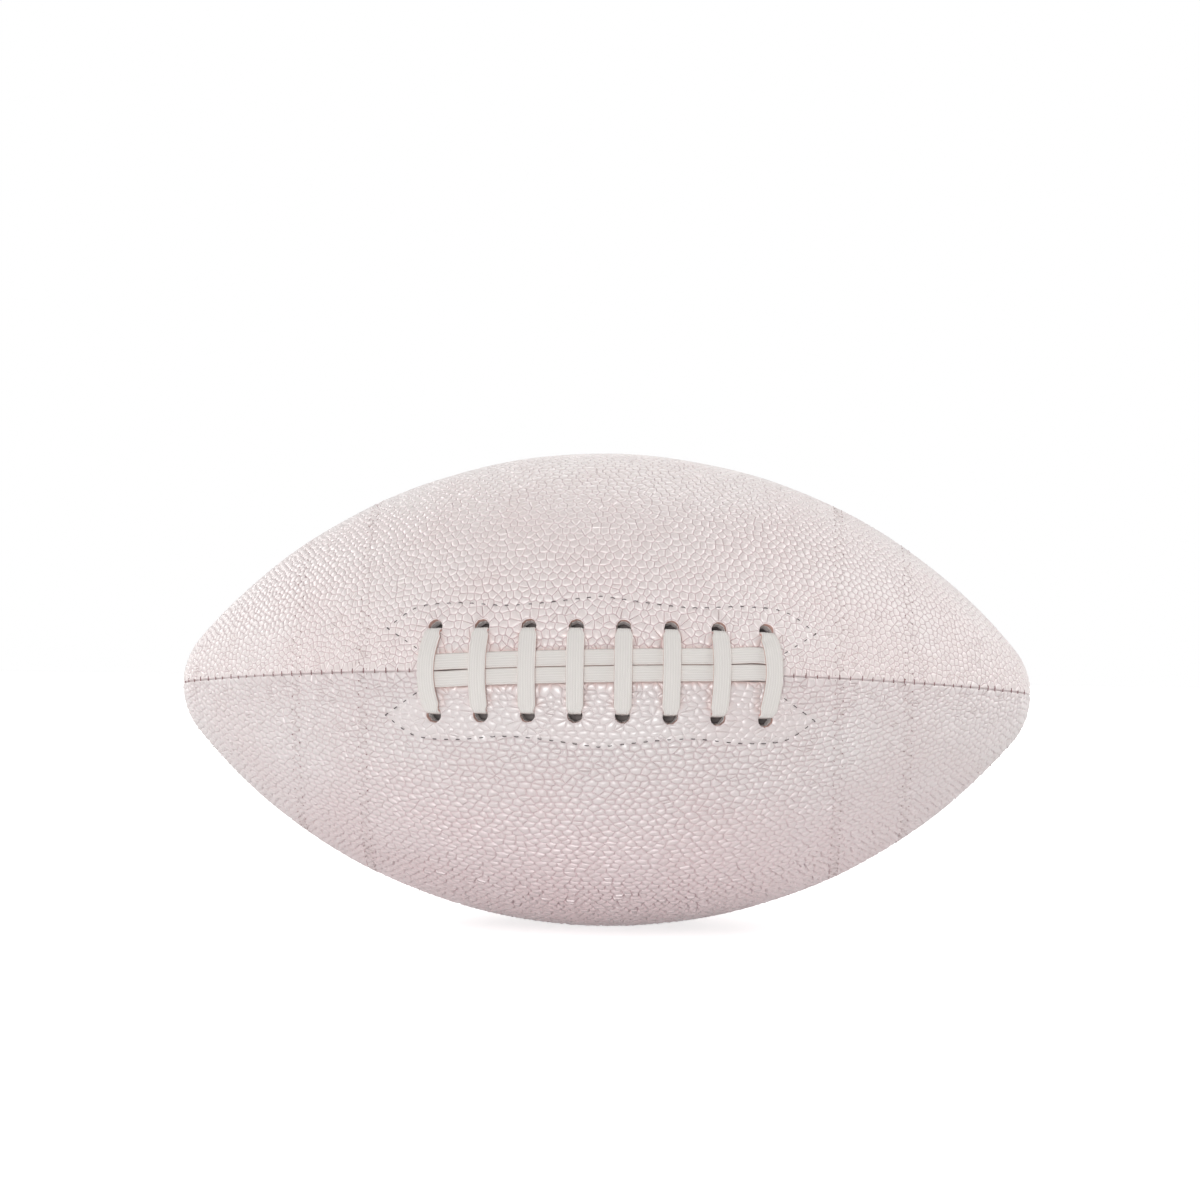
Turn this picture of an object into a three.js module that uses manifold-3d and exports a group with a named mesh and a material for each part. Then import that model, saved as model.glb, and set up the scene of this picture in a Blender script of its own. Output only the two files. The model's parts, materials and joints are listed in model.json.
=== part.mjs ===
// American football: four lined leather panels sewn round a bladder and closed by one flat lace.
// Millimetres, +Z up. The ball lies on its side on a surface at z = 0, under the middle of its long
// axis, which runs along X. The lacing faces -Y and is turned a little up.
import * as THREE from "three";
import { mergeVertices } from "three/addons/utils/BufferGeometryUtils.js";
import Module from "manifold-3d";

// The ball's form
const BALL_LENGTH = 280; // tip to tip
const BALL_DIAMETER = 156; // round the middle
const NOSE_RADIUS = 24; // rounding of each tip
const LACING_TURN_DEG = 8; // how far the lacing is turned up from level
const REST_SAG = 0.7; // how far the ball flattens where it rests

// Layers of the wall, from the outside in
const LEATHER = 2.4;
const LINING = 1.5;
const FACING = 1.2; // reinforcement under the eyelets
const TONGUE = 1.2; // flap between the lacing and the bladder
const BLADDER_WALL = 1.0;
const FIT_GAP = 0.3; // between pieces that touch

// Seams
const SEAM_GAP = 0.3; // between the two leathers of a seam
const SEAM_ALLOWANCE = 2.2; // leather turned in along a seam
const SEAM_SKIVED = 1.6; // thickness of the turned-in leather
const SEAM_GROOVE_WIDTH = 2.4;
const SEAM_GROOVE_DEPTH = 1.0;

// Stripes let into the front panels
const STRIPE_FROM_TIP = 42;
const STRIPE_WIDTH = 22.5;
const STRIPE_THICKNESS = 0.9;

// Lacing
const BAR_COUNT = 8;
const BAR_PITCH = 14.95;
const EYELET_OFFSET = 14.2; // from the front seam, along the surface
const LACE_WIDTH = 5.4;
const LACE_THICKNESS = 1.4;
const LACE_EDGE = 0.7; // how far each edge is drawn in, in half thicknesses
const PINCHED_WIDTH = 3.3; // the lace drawn into an eyelet
const BUNCHED_WIDTH = 2.4; // the lace inside the ball and in the slit
const BUNCHED_THICKNESS = 1.9;
const EYELET_CLEARANCE = 0.5; // round the pinched lace
const SLIT_WIDTH = 9; // the opening that the two long runs cover
const RUN_GAP = 0.7; // between the two long runs, and between crossing laces
const END_BOW = 2.6; // the end bars bow out this much
const TAIL_LENGTH = 14; // each lace end tucked in below the slit

// Facing and tongue round the lacing
const FACING_END_MARGIN = 17.6; // past the last eyelet
const FACING_SIDE_MARGIN = 10; // past the row of eyelets
const FACING_WAVE = 1.5; // height of the wavy edge
const FACING_WAVES = 2.7; // waves from end to end
const FACING_SHOULDER = 6; // how sharply the ends are drawn in: a power
const FACING_POINT_OFFSET = 14; // of the pointed ends from the front seam
const FACING_NOTCH = 11; // the ends run back this far to the slit
const TONGUE_MARGIN = 2.5; // past the facings
const TONGUE_CORNER = 10;

// Valve in the upper back panel
const VALVE_ANGLE_DEG = 150; // round the ball from the lacing
const VALVE_NECK_DIAMETER = 8.4;
const VALVE_BORE_DIAMETER = 5;
const VALVE_FLANGE_DIAMETER = 19;
const VALVE_FLANGE = 1.3;
const VALVE_RECESS = 0.4; // of its face below the leather
const VALVE_TAIL = 5; // housing below its flange
const NEEDLE_HOLE_DIAMETER = 1.2;
const NEEDLE_MOUTH_DIAMETER = 2.6;
const NEEDLE_MOUTH_DEPTH = 1.0;

// Facets
const AROUND = 28; // steps round the ball
const ALONG_BODY = 12; // steps along the long arc
const ALONG_NOSE = 3; // steps round each tip
const EYELET_SIDES = 8;
const VALVE_SIDES = 16;
const LACE_TURN_DEG = 30; // most that the lace turns from one ring to the next
const LACE_TRIALS = 12; // places between two points of its route where that turn is measured
const FACING_STEPS = 12; // along the wavy edge
const CORNER_STEPS = 4;
const WELD = 1e-4; // closer points are one

// The ball's form: one long arc, with a rounded nose at each end
const RADIUS = BALL_DIAMETER / 2;
const HALF_LENGTH = BALL_LENGTH / 2;
const NOSE_X = HALF_LENGTH - NOSE_RADIUS;
const BODY_ARC =
  (NOSE_X ** 2 + RADIUS ** 2 - NOSE_RADIUS ** 2) / (2 * (RADIUS - NOSE_RADIUS)); // radius of the long arc
const BODY_DROP = BODY_ARC - RADIUS; // of the long arc's centre past the axis
const NOSE_ANGLE = Math.atan2(NOSE_X, BODY_DROP); // slope where the long arc meets the nose
const FACET_SAG =
  RADIUS * (1 - Math.cos(Math.PI / AROUND)) +
  BODY_ARC * (1 - Math.cos(NOSE_ANGLE / ALONG_BODY)); // most that a facet lies inside the true form

// Depths below the leather's outer face
const LINING_TOP = LEATHER + FIT_GAP;
const LINING_BOTTOM = LINING_TOP + LINING;
const ALLOWANCE_BOTTOM = LEATHER + SEAM_ALLOWANCE;
const BLADDER_TOP = Math.max(LINING_BOTTOM, ALLOWANCE_BOTTOM) + FIT_GAP;
const BLADDER_BOTTOM = BLADDER_TOP + BLADDER_WALL;
const FACING_TOP = LINING_BOTTOM + FIT_GAP;
const FACING_BOTTOM = FACING_TOP + FACING;
const INNER_LACE = FACING_BOTTOM + FACET_SAG + FIT_GAP + BUNCHED_WIDTH / 2; // middle of the lace inside
const TONGUE_TOP = INNER_LACE + BUNCHED_WIDTH / 2 + 2 * FIT_GAP;
const TONGUE_BOTTOM = TONGUE_TOP + TONGUE;
const BAY_TOP = TONGUE_BOTTOM + FIT_GAP; // the bladder under the tongue

// Sizes that follow from those above
const AXIS_HEIGHT = RADIUS - REST_SAG;
const FAR = 2 * BALL_LENGTH; // reaches past the ball
const ROW_HALF = ((BAR_COUNT - 1) * BAR_PITCH) / 2; // from the middle to the last eyelets
const EYELET_DIAMETER = Math.hypot(PINCHED_WIDTH, BUNCHED_THICKNESS) + 2 * EYELET_CLEARANCE;
const SLIT_SIDE = BUNCHED_WIDTH / 2 + RUN_GAP; // of each lace that passes the slit, from the seam
const SLIT_HALF_WIDTH = SLIT_WIDTH / 2;
const DIVE_X = ROW_HALF + END_BOW; // the long runs go in under the middle of the end bars
const LEG_X = DIVE_X + BUNCHED_THICKNESS / 2; // the lace in the ends of the slit
const SLIT_HALF_LENGTH = LEG_X + BUNCHED_THICKNESS / 2 + FIT_GAP;
const FACING_HALF_LENGTH = ROW_HALF + FACING_END_MARGIN;
const FACING_HALF_WIDTH = EYELET_OFFSET + FACING_SIDE_MARGIN;
const VALVE_ANGLE = THREE.MathUtils.degToRad(VALVE_ANGLE_DEG);

const wasm = await Module();
wasm.setup();

// Solids: three.js geometry to and from manifold-3d

function toSolid(geometry) {
  const bare = new THREE.BufferGeometry();
  bare.setAttribute("position", geometry.getAttribute("position"));
  bare.setIndex(geometry.index);
  const merged = mergeVertices(bare, WELD);
  const kept = [];
  const index = merged.index.array;
  for (let i = 0; i < index.length; i += 3) {
    const [a, b, c] = [index[i], index[i + 1], index[i + 2]];
    if (a !== b && b !== c && c !== a) kept.push(a, b, c);
  }
  const vertProperties = merged.getAttribute("position").array;
  return new wasm.Manifold(new wasm.Mesh({ numProp: 3, vertProperties, triVerts: new Uint32Array(kept) }));
}

function toGeometry(solid) {
  const made = solid.getMesh();
  const geometry = new THREE.BufferGeometry();
  geometry.setAttribute("position", new THREE.BufferAttribute(made.vertProperties, 3));
  geometry.setIndex(new THREE.BufferAttribute(made.triVerts, 1));
  geometry.computeVertexNormals();
  return geometry;
}

function box(low, high) {
  const size = new THREE.Vector3().subVectors(high, low);
  const middle = new THREE.Vector3().addVectors(low, high).multiplyScalar(0.5);
  return new THREE.BoxGeometry(size.x, size.y, size.z).translate(middle.x, middle.y, middle.z);
}

// The ball's surface. The lacing lies on +Z of the ball's own frame and the upper side on +Y.
// Slope is the angle of the surface's normal from square to the axis, and angle goes round from the lacing.

function profilePoint(slope, depth) {
  const onNose = Math.abs(slope) > NOSE_ANGLE;
  const radius = (onNose ? NOSE_RADIUS : BODY_ARC) - depth;
  const centreX = onNose ? Math.sign(slope) * NOSE_X : 0;
  const centreR = onNose ? 0 : -BODY_DROP;
  return new THREE.Vector2(centreR + radius * Math.cos(slope), centreX + radius * Math.sin(slope));
}

function slopes() {
  const list = [];
  const nose = Math.PI / 2 - NOSE_ANGLE;
  for (let i = 0; i < ALONG_NOSE; i++) list.push(-Math.PI / 2 + (nose * i) / ALONG_NOSE);
  for (let i = 0; i <= ALONG_BODY; i++) list.push(NOSE_ANGLE * ((2 * i) / ALONG_BODY - 1));
  for (let i = 1; i <= ALONG_NOSE; i++) list.push(NOSE_ANGLE + (nose * i) / ALONG_NOSE);
  return list;
}

function ballSolid(depth) {
  const points = slopes().map((slope) => profilePoint(slope, depth));
  points[0].x = 0;
  points[points.length - 1].x = 0;
  return toSolid(new THREE.LatheGeometry(points, AROUND).rotateZ(-Math.PI / 2));
}

function shell(top, bottom) {
  return ballSolid(top).subtract(ballSolid(bottom));
}

// The place and the directions at x along the axis, side along the surface from the front seam,
// and height above the leather. The lacing lies on the long arc.
function surfaceFrame(x, side, height) {
  const slope = Math.asin(x / BODY_ARC);
  const foot = profilePoint(slope, -height);
  const angle = side / profilePoint(slope, 0).x;
  const out = new THREE.Vector3(0, Math.sin(angle), Math.cos(angle));
  const place = out.clone().multiplyScalar(foot.x).setX(foot.y);
  const normal = out.clone().multiplyScalar(Math.cos(slope)).setX(Math.sin(slope));
  const across = new THREE.Vector3(0, Math.cos(angle), -Math.sin(angle));
  const along = new THREE.Vector3().crossVectors(across, normal);
  return { place, normal, across, along };
}

// A closed band through rings of points, which go round anticlockwise seen against the way of travel
function sweep(rings) {
  const size = rings[0].length;
  const positions = rings.flat().flatMap((point) => point.toArray());
  const index = [];
  for (let i = 0; i + 1 < rings.length; i++) {
    for (let j = 0; j < size; j++) {
      const [a, b] = [i * size + j, i * size + ((j + 1) % size)];
      index.push(a, b, a + size, b, b + size, a + size);
    }
  }
  const last = (rings.length - 1) * size;
  for (let j = 1; j + 1 < size; j++) {
    index.push(0, j + 1, j);
    index.push(last, last + j, last + j + 1);
  }
  const geometry = new THREE.BufferGeometry();
  geometry.setAttribute("position", new THREE.Float32BufferAttribute(positions, 3));
  geometry.setIndex(index);
  geometry.computeVertexNormals();
  return geometry;
}

// The cover: four leather panels, each a quarter of the ball between two seams

const QUARTERS = [
  { name: "front_upper", up: 1, front: 1 },
  { name: "back_upper", up: 1, front: -1 },
  { name: "back_lower", up: -1, front: -1 },
  { name: "front_lower", up: -1, front: 1 },
];

// A quarter's space, this far in from both of its seams
function quarterSpace({ up, front }, inset) {
  const near = new THREE.Vector3(-FAR, up * inset, front * inset);
  const far = new THREE.Vector3(FAR, up * FAR, front * FAR);
  return toSolid(box(near.clone().min(far), near.clone().max(far)));
}

// Everything within this distance of a seam
function besideSeams(half) {
  const level = box(new THREE.Vector3(-FAR, -half, -FAR), new THREE.Vector3(FAR, half, FAR));
  const upright = box(new THREE.Vector3(-FAR, -FAR, -half), new THREE.Vector3(FAR, FAR, half));
  return toSolid(level).add(toSolid(upright));
}

// The groove that the two turned-in leathers leave along the seam at this angle round the ball
function seamGroove(angle) {
  const out = new THREE.Vector3(0, Math.sin(angle), Math.cos(angle));
  const across = new THREE.Vector3(0, Math.cos(angle), -Math.sin(angle));
  const stations = slopes();
  const close = Math.PI / 2 - SEAM_GROOVE_WIDTH / NOSE_RADIUS; // the grooves meet round the tips
  stations[0] = -close;
  stations[stations.length - 1] = close;
  const rings = stations.map((slope) => {
    const at = (depth, aside) => {
      const foot = profilePoint(slope, depth);
      return out.clone().multiplyScalar(foot.x).setX(foot.y).addScaledVector(across, aside);
    };
    const rise = -SEAM_GROOVE_DEPTH;
    return [at(SEAM_GROOVE_DEPTH, 0), at(rise, SEAM_GROOVE_WIDTH), at(rise, -SEAM_GROOVE_WIDTH)];
  });
  return toSolid(sweep(rings));
}

const GROOVES = [0, 1, 2, 3]
  .map((quarter) => seamGroove((quarter * Math.PI) / 2))
  .reduce((all, one) => all.add(one));

// The leather before it is cut into panels, with the allowances that are turned in along the seams
const SEWN_LEATHER = shell(LEATHER / 2, ALLOWANCE_BOTTOM)
  .intersect(besideSeams(SEAM_GAP / 2 + SEAM_SKIVED))
  .add(shell(0, LEATHER))
  .subtract(GROOVES);

function slab(low, high) {
  return toSolid(box(new THREE.Vector3(low, -FAR, -FAR), new THREE.Vector3(high, FAR, FAR)));
}

function stripeSpace(end, extra) {
  const far = HALF_LENGTH - STRIPE_FROM_TIP;
  const near = far - STRIPE_WIDTH;
  return end > 0 ? slab(near - extra, far + extra) : slab(-far - extra, extra - near);
}

function stripe(quarter, end) {
  return shell(0, STRIPE_THICKNESS)
    .intersect(quarterSpace(quarter, SEAM_GAP / 2))
    .intersect(stripeSpace(end, 0))
    .subtract(GROOVES);
}

function stripeRecesses() {
  const outside = toSolid(box(new THREE.Vector3(-FAR, -FAR, -FAR), new THREE.Vector3(FAR, FAR, FAR)));
  const layer = outside.subtract(ballSolid(STRIPE_THICKNESS + FIT_GAP));
  return layer.intersect(stripeSpace(1, FIT_GAP).add(stripeSpace(-1, FIT_GAP)));
}

// Eyelets, and the slit that the lace closes

function eyeletPlaces() {
  const places = [];
  for (let i = 0; i < BAR_COUNT; i++) {
    const x = i * BAR_PITCH - ROW_HALF;
    for (const side of [-1, 1]) places.push({ x, side: side * EYELET_OFFSET });
  }
  return places;
}

// A round cutter through the whole wall, square to the surface
function wallCutter(x, side, diameter, sides) {
  const length = 2 * BAY_TOP;
  const { place, normal } = surfaceFrame(x, side, 0);
  const upright = new THREE.Vector3(0, 1, 0);
  const turn = new THREE.Quaternion().setFromUnitVectors(upright, normal);
  const cutter = new THREE.CylinderGeometry(diameter / 2, diameter / 2, length, sides);
  return toSolid(cutter.applyQuaternion(turn).translate(place.x, place.y, place.z));
}

const EYELETS = eyeletPlaces()
  .map(({ x, side }) => wallCutter(x, side, EYELET_DIAMETER, EYELET_SIDES))
  .reduce((all, one) => all.add(one));

const SLIT = toSolid(
  box(
    new THREE.Vector3(-SLIT_HALF_LENGTH, -SLIT_HALF_WIDTH, 0),
    new THREE.Vector3(SLIT_HALF_LENGTH, SLIT_HALF_WIDTH, FAR),
  ),
);

// Valve: a flanged rubber housing through the wall, with a self-sealing plug in its bore

const VALVE_NECK = VALVE_NECK_DIAMETER / 2;
const VALVE_BORE = VALVE_BORE_DIAMETER / 2;
const VALVE_PLACE = surfaceFrame(0, VALVE_ANGLE * RADIUS, 0);
const VALVE_HOLE = wallCutter(0, VALVE_ANGLE * RADIUS, VALVE_NECK_DIAMETER + 2 * FIT_GAP, VALVE_SIDES);
const VALVE_SEAT = -(BLADDER_BOTTOM + FACET_SAG + FIT_GAP);
const HOUSING_BOTTOM = VALVE_SEAT - VALVE_FLANGE - VALVE_TAIL;

// How far the wall falls away from flat at this distance from the valve's axis
function fallAt(distance) {
  const curve = RADIUS - BLADDER_BOTTOM;
  return curve - Math.sqrt(curve ** 2 - distance ** 2);
}

function valveHousing() {
  const rim = VALVE_FLANGE_DIAMETER / 2;
  const foot = VALVE_SEAT - VALVE_FLANGE;
  const outline = [
    [VALVE_BORE, HOUSING_BOTTOM],
    [VALVE_NECK, HOUSING_BOTTOM],
    [VALVE_NECK, foot - fallAt(VALVE_NECK)],
    [rim, foot - fallAt(rim)],
    [rim, VALVE_SEAT - fallAt(rim)],
    [VALVE_NECK, VALVE_SEAT - fallAt(VALVE_NECK)],
    [VALVE_NECK, -VALVE_RECESS],
    [VALVE_BORE, -VALVE_RECESS],
    [VALVE_BORE, HOUSING_BOTTOM],
  ];
  return new THREE.LatheGeometry(outline.map(([r, h]) => new THREE.Vector2(r, h)), VALVE_SIDES);
}

function valvePlug() {
  const edge = VALVE_BORE - FIT_GAP;
  const hole = NEEDLE_HOLE_DIAMETER / 2;
  const mouth = NEEDLE_MOUTH_DIAMETER / 2;
  const outline = [
    [hole, HOUSING_BOTTOM],
    [edge, HOUSING_BOTTOM],
    [edge, -VALVE_RECESS],
    [mouth, -VALVE_RECESS],
    [hole, -VALVE_RECESS - NEEDLE_MOUTH_DEPTH],
    [hole, HOUSING_BOTTOM],
  ];
  return new THREE.LatheGeometry(outline.map(([r, h]) => new THREE.Vector2(r, h)), VALVE_SIDES);
}

// The ball's frame: the lacing turned to the front, and the axis raised so that the ball rests at z = 0

const ball = new THREE.Group();
ball.rotation.x = Math.PI / 2 - THREE.MathUtils.degToRad(LACING_TURN_DEG);
ball.position.z = AXIS_HEIGHT;
ball.updateMatrixWorld(true);

const FLOOR = toSolid(
  box(new THREE.Vector3(-FAR, -FAR, -FAR), new THREE.Vector3(FAR, FAR, 0)).applyMatrix4(
    ball.matrixWorld.clone().invert(),
  ),
);

function panel(quarter) {
  const leather = SEWN_LEATHER.intersect(quarterSpace(quarter, SEAM_GAP / 2));
  if (quarter.front < 0) return leather.subtract(VALVE_HOLE).subtract(FLOOR);
  return leather.subtract(stripeRecesses()).subtract(EYELETS).subtract(SLIT).subtract(FLOOR);
}

function lining(quarter) {
  const inset = SEAM_GAP / 2 + SEAM_SKIVED + FIT_GAP;
  const cloth = shell(LINING_TOP, LINING_BOTTOM).intersect(quarterSpace(quarter, inset));
  if (quarter.front < 0) return cloth.subtract(VALVE_HOLE);
  return cloth.subtract(EYELETS).subtract(SLIT);
}

// Facings: pointed at both ends, with a wavy outer edge

function facingOutline(sign) {
  const [length, width, point] = [FACING_HALF_LENGTH, FACING_HALF_WIDTH, FACING_POINT_OFFSET];
  const notch = length - FACING_NOTCH;
  const inner = SLIT_HALF_WIDTH;
  const edge = [];
  for (let i = 0; i <= FACING_STEPS; i++) {
    const share = (2 * i) / FACING_STEPS - 1;
    const drawnIn = Math.abs(share) ** FACING_SHOULDER;
    const wave = FACING_WAVE * Math.cos(Math.PI * FACING_WAVES * share);
    edge.push([share * length, width + wave * (1 - drawnIn) - (width - point) * drawnIn]);
  }
  const outline = [[-notch, inner], ...edge, [notch, inner]];
  return new THREE.Shape(outline.map(([x, y]) => new THREE.Vector2(x, sign * y)));
}

function facing(sign) {
  const cutter = new THREE.ExtrudeGeometry(facingOutline(sign), { depth: FAR, bevelEnabled: false });
  return shell(FACING_TOP, FACING_BOTTOM).intersect(toSolid(cutter)).subtract(EYELETS).subtract(SLIT);
}

// Tongue and the bay that it fills in the bladder

function roundedRectangle(halfLength, halfWidth, corner) {
  const shape = new THREE.Shape();
  const [x, y] = [halfLength - corner, halfWidth - corner];
  shape.absarc(x, y, corner, 0, Math.PI / 2);
  shape.absarc(-x, y, corner, Math.PI / 2, Math.PI);
  shape.absarc(-x, -y, corner, Math.PI, 1.5 * Math.PI);
  shape.absarc(x, -y, corner, 1.5 * Math.PI, 2 * Math.PI);
  return new THREE.ExtrudeGeometry(shape, { depth: FAR, bevelEnabled: false, curveSegments: CORNER_STEPS });
}

function tonguePrism(extra) {
  const halfLength = FACING_HALF_LENGTH + TONGUE_MARGIN + extra;
  const halfWidth = FACING_HALF_WIDTH + FACING_WAVE + TONGUE_MARGIN + extra;
  return toSolid(roundedRectangle(halfLength, halfWidth, TONGUE_CORNER + extra));
}

function tongue() {
  return shell(TONGUE_TOP, TONGUE_BOTTOM).intersect(tonguePrism(0));
}

function bladder() {
  const bay = tonguePrism(FIT_GAP).subtract(ballSolid(BAY_TOP));
  const innerBay = tonguePrism(FIT_GAP + BLADDER_WALL).subtract(ballSolid(BAY_TOP + BLADDER_WALL));
  const outer = ballSolid(BLADDER_TOP).subtract(bay);
  const inner = ballSolid(BLADDER_BOTTOM).subtract(innerBay);
  return outer.subtract(inner).subtract(VALVE_HOLE);
}

// The lace: one flat band, laced through every eyelet. It starts below the slit at +X, runs along the
// upper side of the slit to -X, goes in and up through the first upper eyelet, crosses over and back
// as the bars, and comes out at +X again for the lower run, whose end is tucked in at -X.

const RUN_SIDE = LACE_WIDTH / 2 + RUN_GAP / 2; // of each long run's middle, from the front seam
const RUN_HEIGHT = FIT_GAP + LACE_THICKNESS / 2;
const BAR_HEIGHT = RUN_HEIGHT + LACE_THICKNESS + RUN_GAP;
const IN_EYELET_SIDE = EYELET_OFFSET - EYELET_CLEARANCE / 2; // drawn to the side of the slit
const FLAT = { width: LACE_WIDTH, thickness: LACE_THICKNESS };
const PINCHED = { width: PINCHED_WIDTH, thickness: BUNCHED_THICKNESS };
const BUNCHED = { width: BUNCHED_WIDTH, thickness: BUNCHED_THICKNESS };

// One point of the route: where it is, the section there, and the way that the lace's face looks,
// as shares of the directions along the ball, across the front seam and out of the surface
function knot(x, side, height, section, face) {
  return { x, side, height, section, face };
}

const OUT = [0, 0, 1];
const IN = [0, 0, -1];

// A long run's end, from the flat run down through the slit. End is the sign of x.
function dive(end, sign) {
  const narrowing = (RUN_SIDE + SLIT_SIDE) / 2;
  return [
    knot(end * (DIVE_X - LACE_WIDTH), sign * RUN_SIDE, RUN_HEIGHT, FLAT, OUT),
    knot(end * (DIVE_X - BUNCHED_THICKNESS), sign * narrowing, RUN_HEIGHT, BUNCHED, OUT),
    knot(end * DIVE_X, sign * SLIT_SIDE, FIT_GAP, BUNCHED, [end, 0, 1]),
    knot(end * LEG_X, sign * SLIT_SIDE, -LEATHER / 2, BUNCHED, [end, 0, 0]),
    knot(end * LEG_X, sign * SLIT_SIDE, -FACING_BOTTOM, BUNCHED, [end, 0, 0]),
  ];
}

// A lace end tucked back below the slit
function tail(end, sign) {
  return [
    knot(end * (DIVE_X - BUNCHED_WIDTH / 2), sign * SLIT_SIDE, -INNER_LACE, BUNCHED, [end, 0, -1]),
    knot(end * (DIVE_X - 2 * BUNCHED_WIDTH), sign * SLIT_SIDE, -INNER_LACE, BUNCHED, IN),
    knot(end * (DIVE_X - TAIL_LENGTH), sign * SLIT_SIDE, -INNER_LACE, BUNCHED, IN),
  ];
}

// Up or down through an eyelet, from inside the ball to the start of the bar
function throughEyelet(x, sign) {
  const outward = [0, sign, 0];
  const lip = BUNCHED_THICKNESS / 2;
  return [
    knot(x, sign * IN_EYELET_SIDE, -FACING_BOTTOM, BUNCHED, outward),
    knot(x, sign * IN_EYELET_SIDE, -lip, PINCHED, outward),
    knot(x, sign * (IN_EYELET_SIDE - lip / 2), lip, PINCHED, [0, sign, 1]),
    knot(x, sign * (IN_EYELET_SIDE - 2 * lip), RUN_HEIGHT + FIT_GAP, FLAT, OUT),
  ];
}

function bar(x, bow) {
  const over = RUN_SIDE + LACE_WIDTH / 2;
  const middle = [1, 0, -1].map((share) => {
    const bowed = bow * (1 - ((share * over) / EYELET_OFFSET) ** 2);
    return knot(x + bowed, share * over, BAR_HEIGHT, FLAT, OUT);
  });
  return [...throughEyelet(x, 1), ...middle, ...throughEyelet(x, -1).reverse()];
}

// Inside the ball from one eyelet to the next, along the row
function innerRun(from, to, sign) {
  const turn = BUNCHED_WIDTH;
  const place = (x) => knot(x, sign * IN_EYELET_SIDE, -INNER_LACE, BUNCHED, [0, sign, 0]);
  return [place(from + turn), place(to - turn)];
}

// A long run's flat stretch, under the bars between the two end bars
function longRun(sign) {
  const inner = [...Array(BAR_COUNT - 1).keys()].slice(1);
  return inner.map((i) => knot(ROW_HALF - i * BAR_PITCH, sign * RUN_SIDE, RUN_HEIGHT, FLAT, OUT));
}

function laceRoute() {
  const beside = IN_EYELET_SIDE - BUNCHED_WIDTH; // just inside the row of eyelets
  const past = LEG_X + BUNCHED_THICKNESS / 2 + RUN_GAP + BUNCHED_WIDTH / 2; // round the tucked-in end
  const route = [...tail(1, 1).reverse(), ...dive(1, 1).reverse(), ...longRun(1), ...dive(-1, 1)];
  route.push(knot(-DIVE_X, SLIT_SIDE + BUNCHED_WIDTH / 2, -INNER_LACE, BUNCHED, [-1, 0, -1]));
  route.push(knot(-ROW_HALF, beside, -INNER_LACE, BUNCHED, IN));
  for (let i = 0; i < BAR_COUNT; i++) {
    const x = i * BAR_PITCH - ROW_HALF;
    const bow = i === 0 ? -END_BOW : i === BAR_COUNT - 1 ? END_BOW : 0;
    const downwards = i % 2 === 0;
    route.push(...(downwards ? bar(x, bow) : bar(x, bow).reverse()));
    if (i + 1 < BAR_COUNT) route.push(...innerRun(x, x + BAR_PITCH, downwards ? -1 : 1));
  }
  const lastSide = BAR_COUNT % 2 === 0 ? 1 : -1; // of the eyelet that the last bar goes in by
  route.push(knot(ROW_HALF + BUNCHED_WIDTH, lastSide * beside, -INNER_LACE, BUNCHED, IN));
  route.push(knot(past, (lastSide * beside) / 2, -INNER_LACE, BUNCHED, IN));
  route.push(knot(past, -SLIT_SIDE, -INNER_LACE, BUNCHED, [1, 0, -1]));
  route.push(...dive(1, -1).reverse(), ...longRun(-1), ...dive(-1, -1), ...tail(-1, -1));
  return route;
}

// The lace's outline at one ring: flat, with both edges drawn in
function laceRing(place, wide, face, section) {
  const [half, thick] = [section.width / 2, section.thickness / 2];
  const flat = half - LACE_EDGE * thick;
  const outline = [
    [-half, 0],
    [-flat, -thick],
    [flat, -thick],
    [half, 0],
    [flat, thick],
    [-flat, thick],
  ];
  return outline.map(([w, t]) => place.clone().addScaledVector(wide, w).addScaledVector(face, t));
}

function laceRings() {
  const route = laceRoute();
  const frames = route.map(({ x, side, height }) => surfaceFrame(x, side, height));
  const faces = route.map(({ face }, i) =>
    new THREE.Vector3()
      .addScaledVector(frames[i].along, face[0])
      .addScaledVector(frames[i].across, face[1])
      .addScaledVector(frames[i].normal, face[2])
      .normalize(),
  );
  const curve = new THREE.CatmullRomCurve3(frames.map(({ place }) => place), false, "centripetal");
  const trials = LACE_TRIALS * (route.length - 1);
  const rings = [];
  let last = null;
  for (let i = 0; i <= trials; i++) {
    const place = curve.getPoint(i / trials);
    const tangent = curve.getTangent(i / trials);
    const turned = last && THREE.MathUtils.radToDeg(last.angleTo(tangent)) > LACE_TURN_DEG;
    if (i % LACE_TRIALS > 0 && !turned) continue;
    const before = Math.min(Math.floor(i / LACE_TRIALS), route.length - 2);
    const share = i / LACE_TRIALS - before;
    const [one, next] = [route[before].section, route[before + 1].section];
    const section = {
      width: THREE.MathUtils.lerp(one.width, next.width, share),
      thickness: THREE.MathUtils.lerp(one.thickness, next.thickness, share),
    };
    const face = faces[before].clone().lerp(faces[before + 1], share);
    face.addScaledVector(tangent, -face.dot(tangent)).normalize();
    const wide = new THREE.Vector3().crossVectors(face, tangent);
    rings.push(laceRing(place, wide, face, section));
    last = tangent;
  }
  return rings;
}

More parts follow.
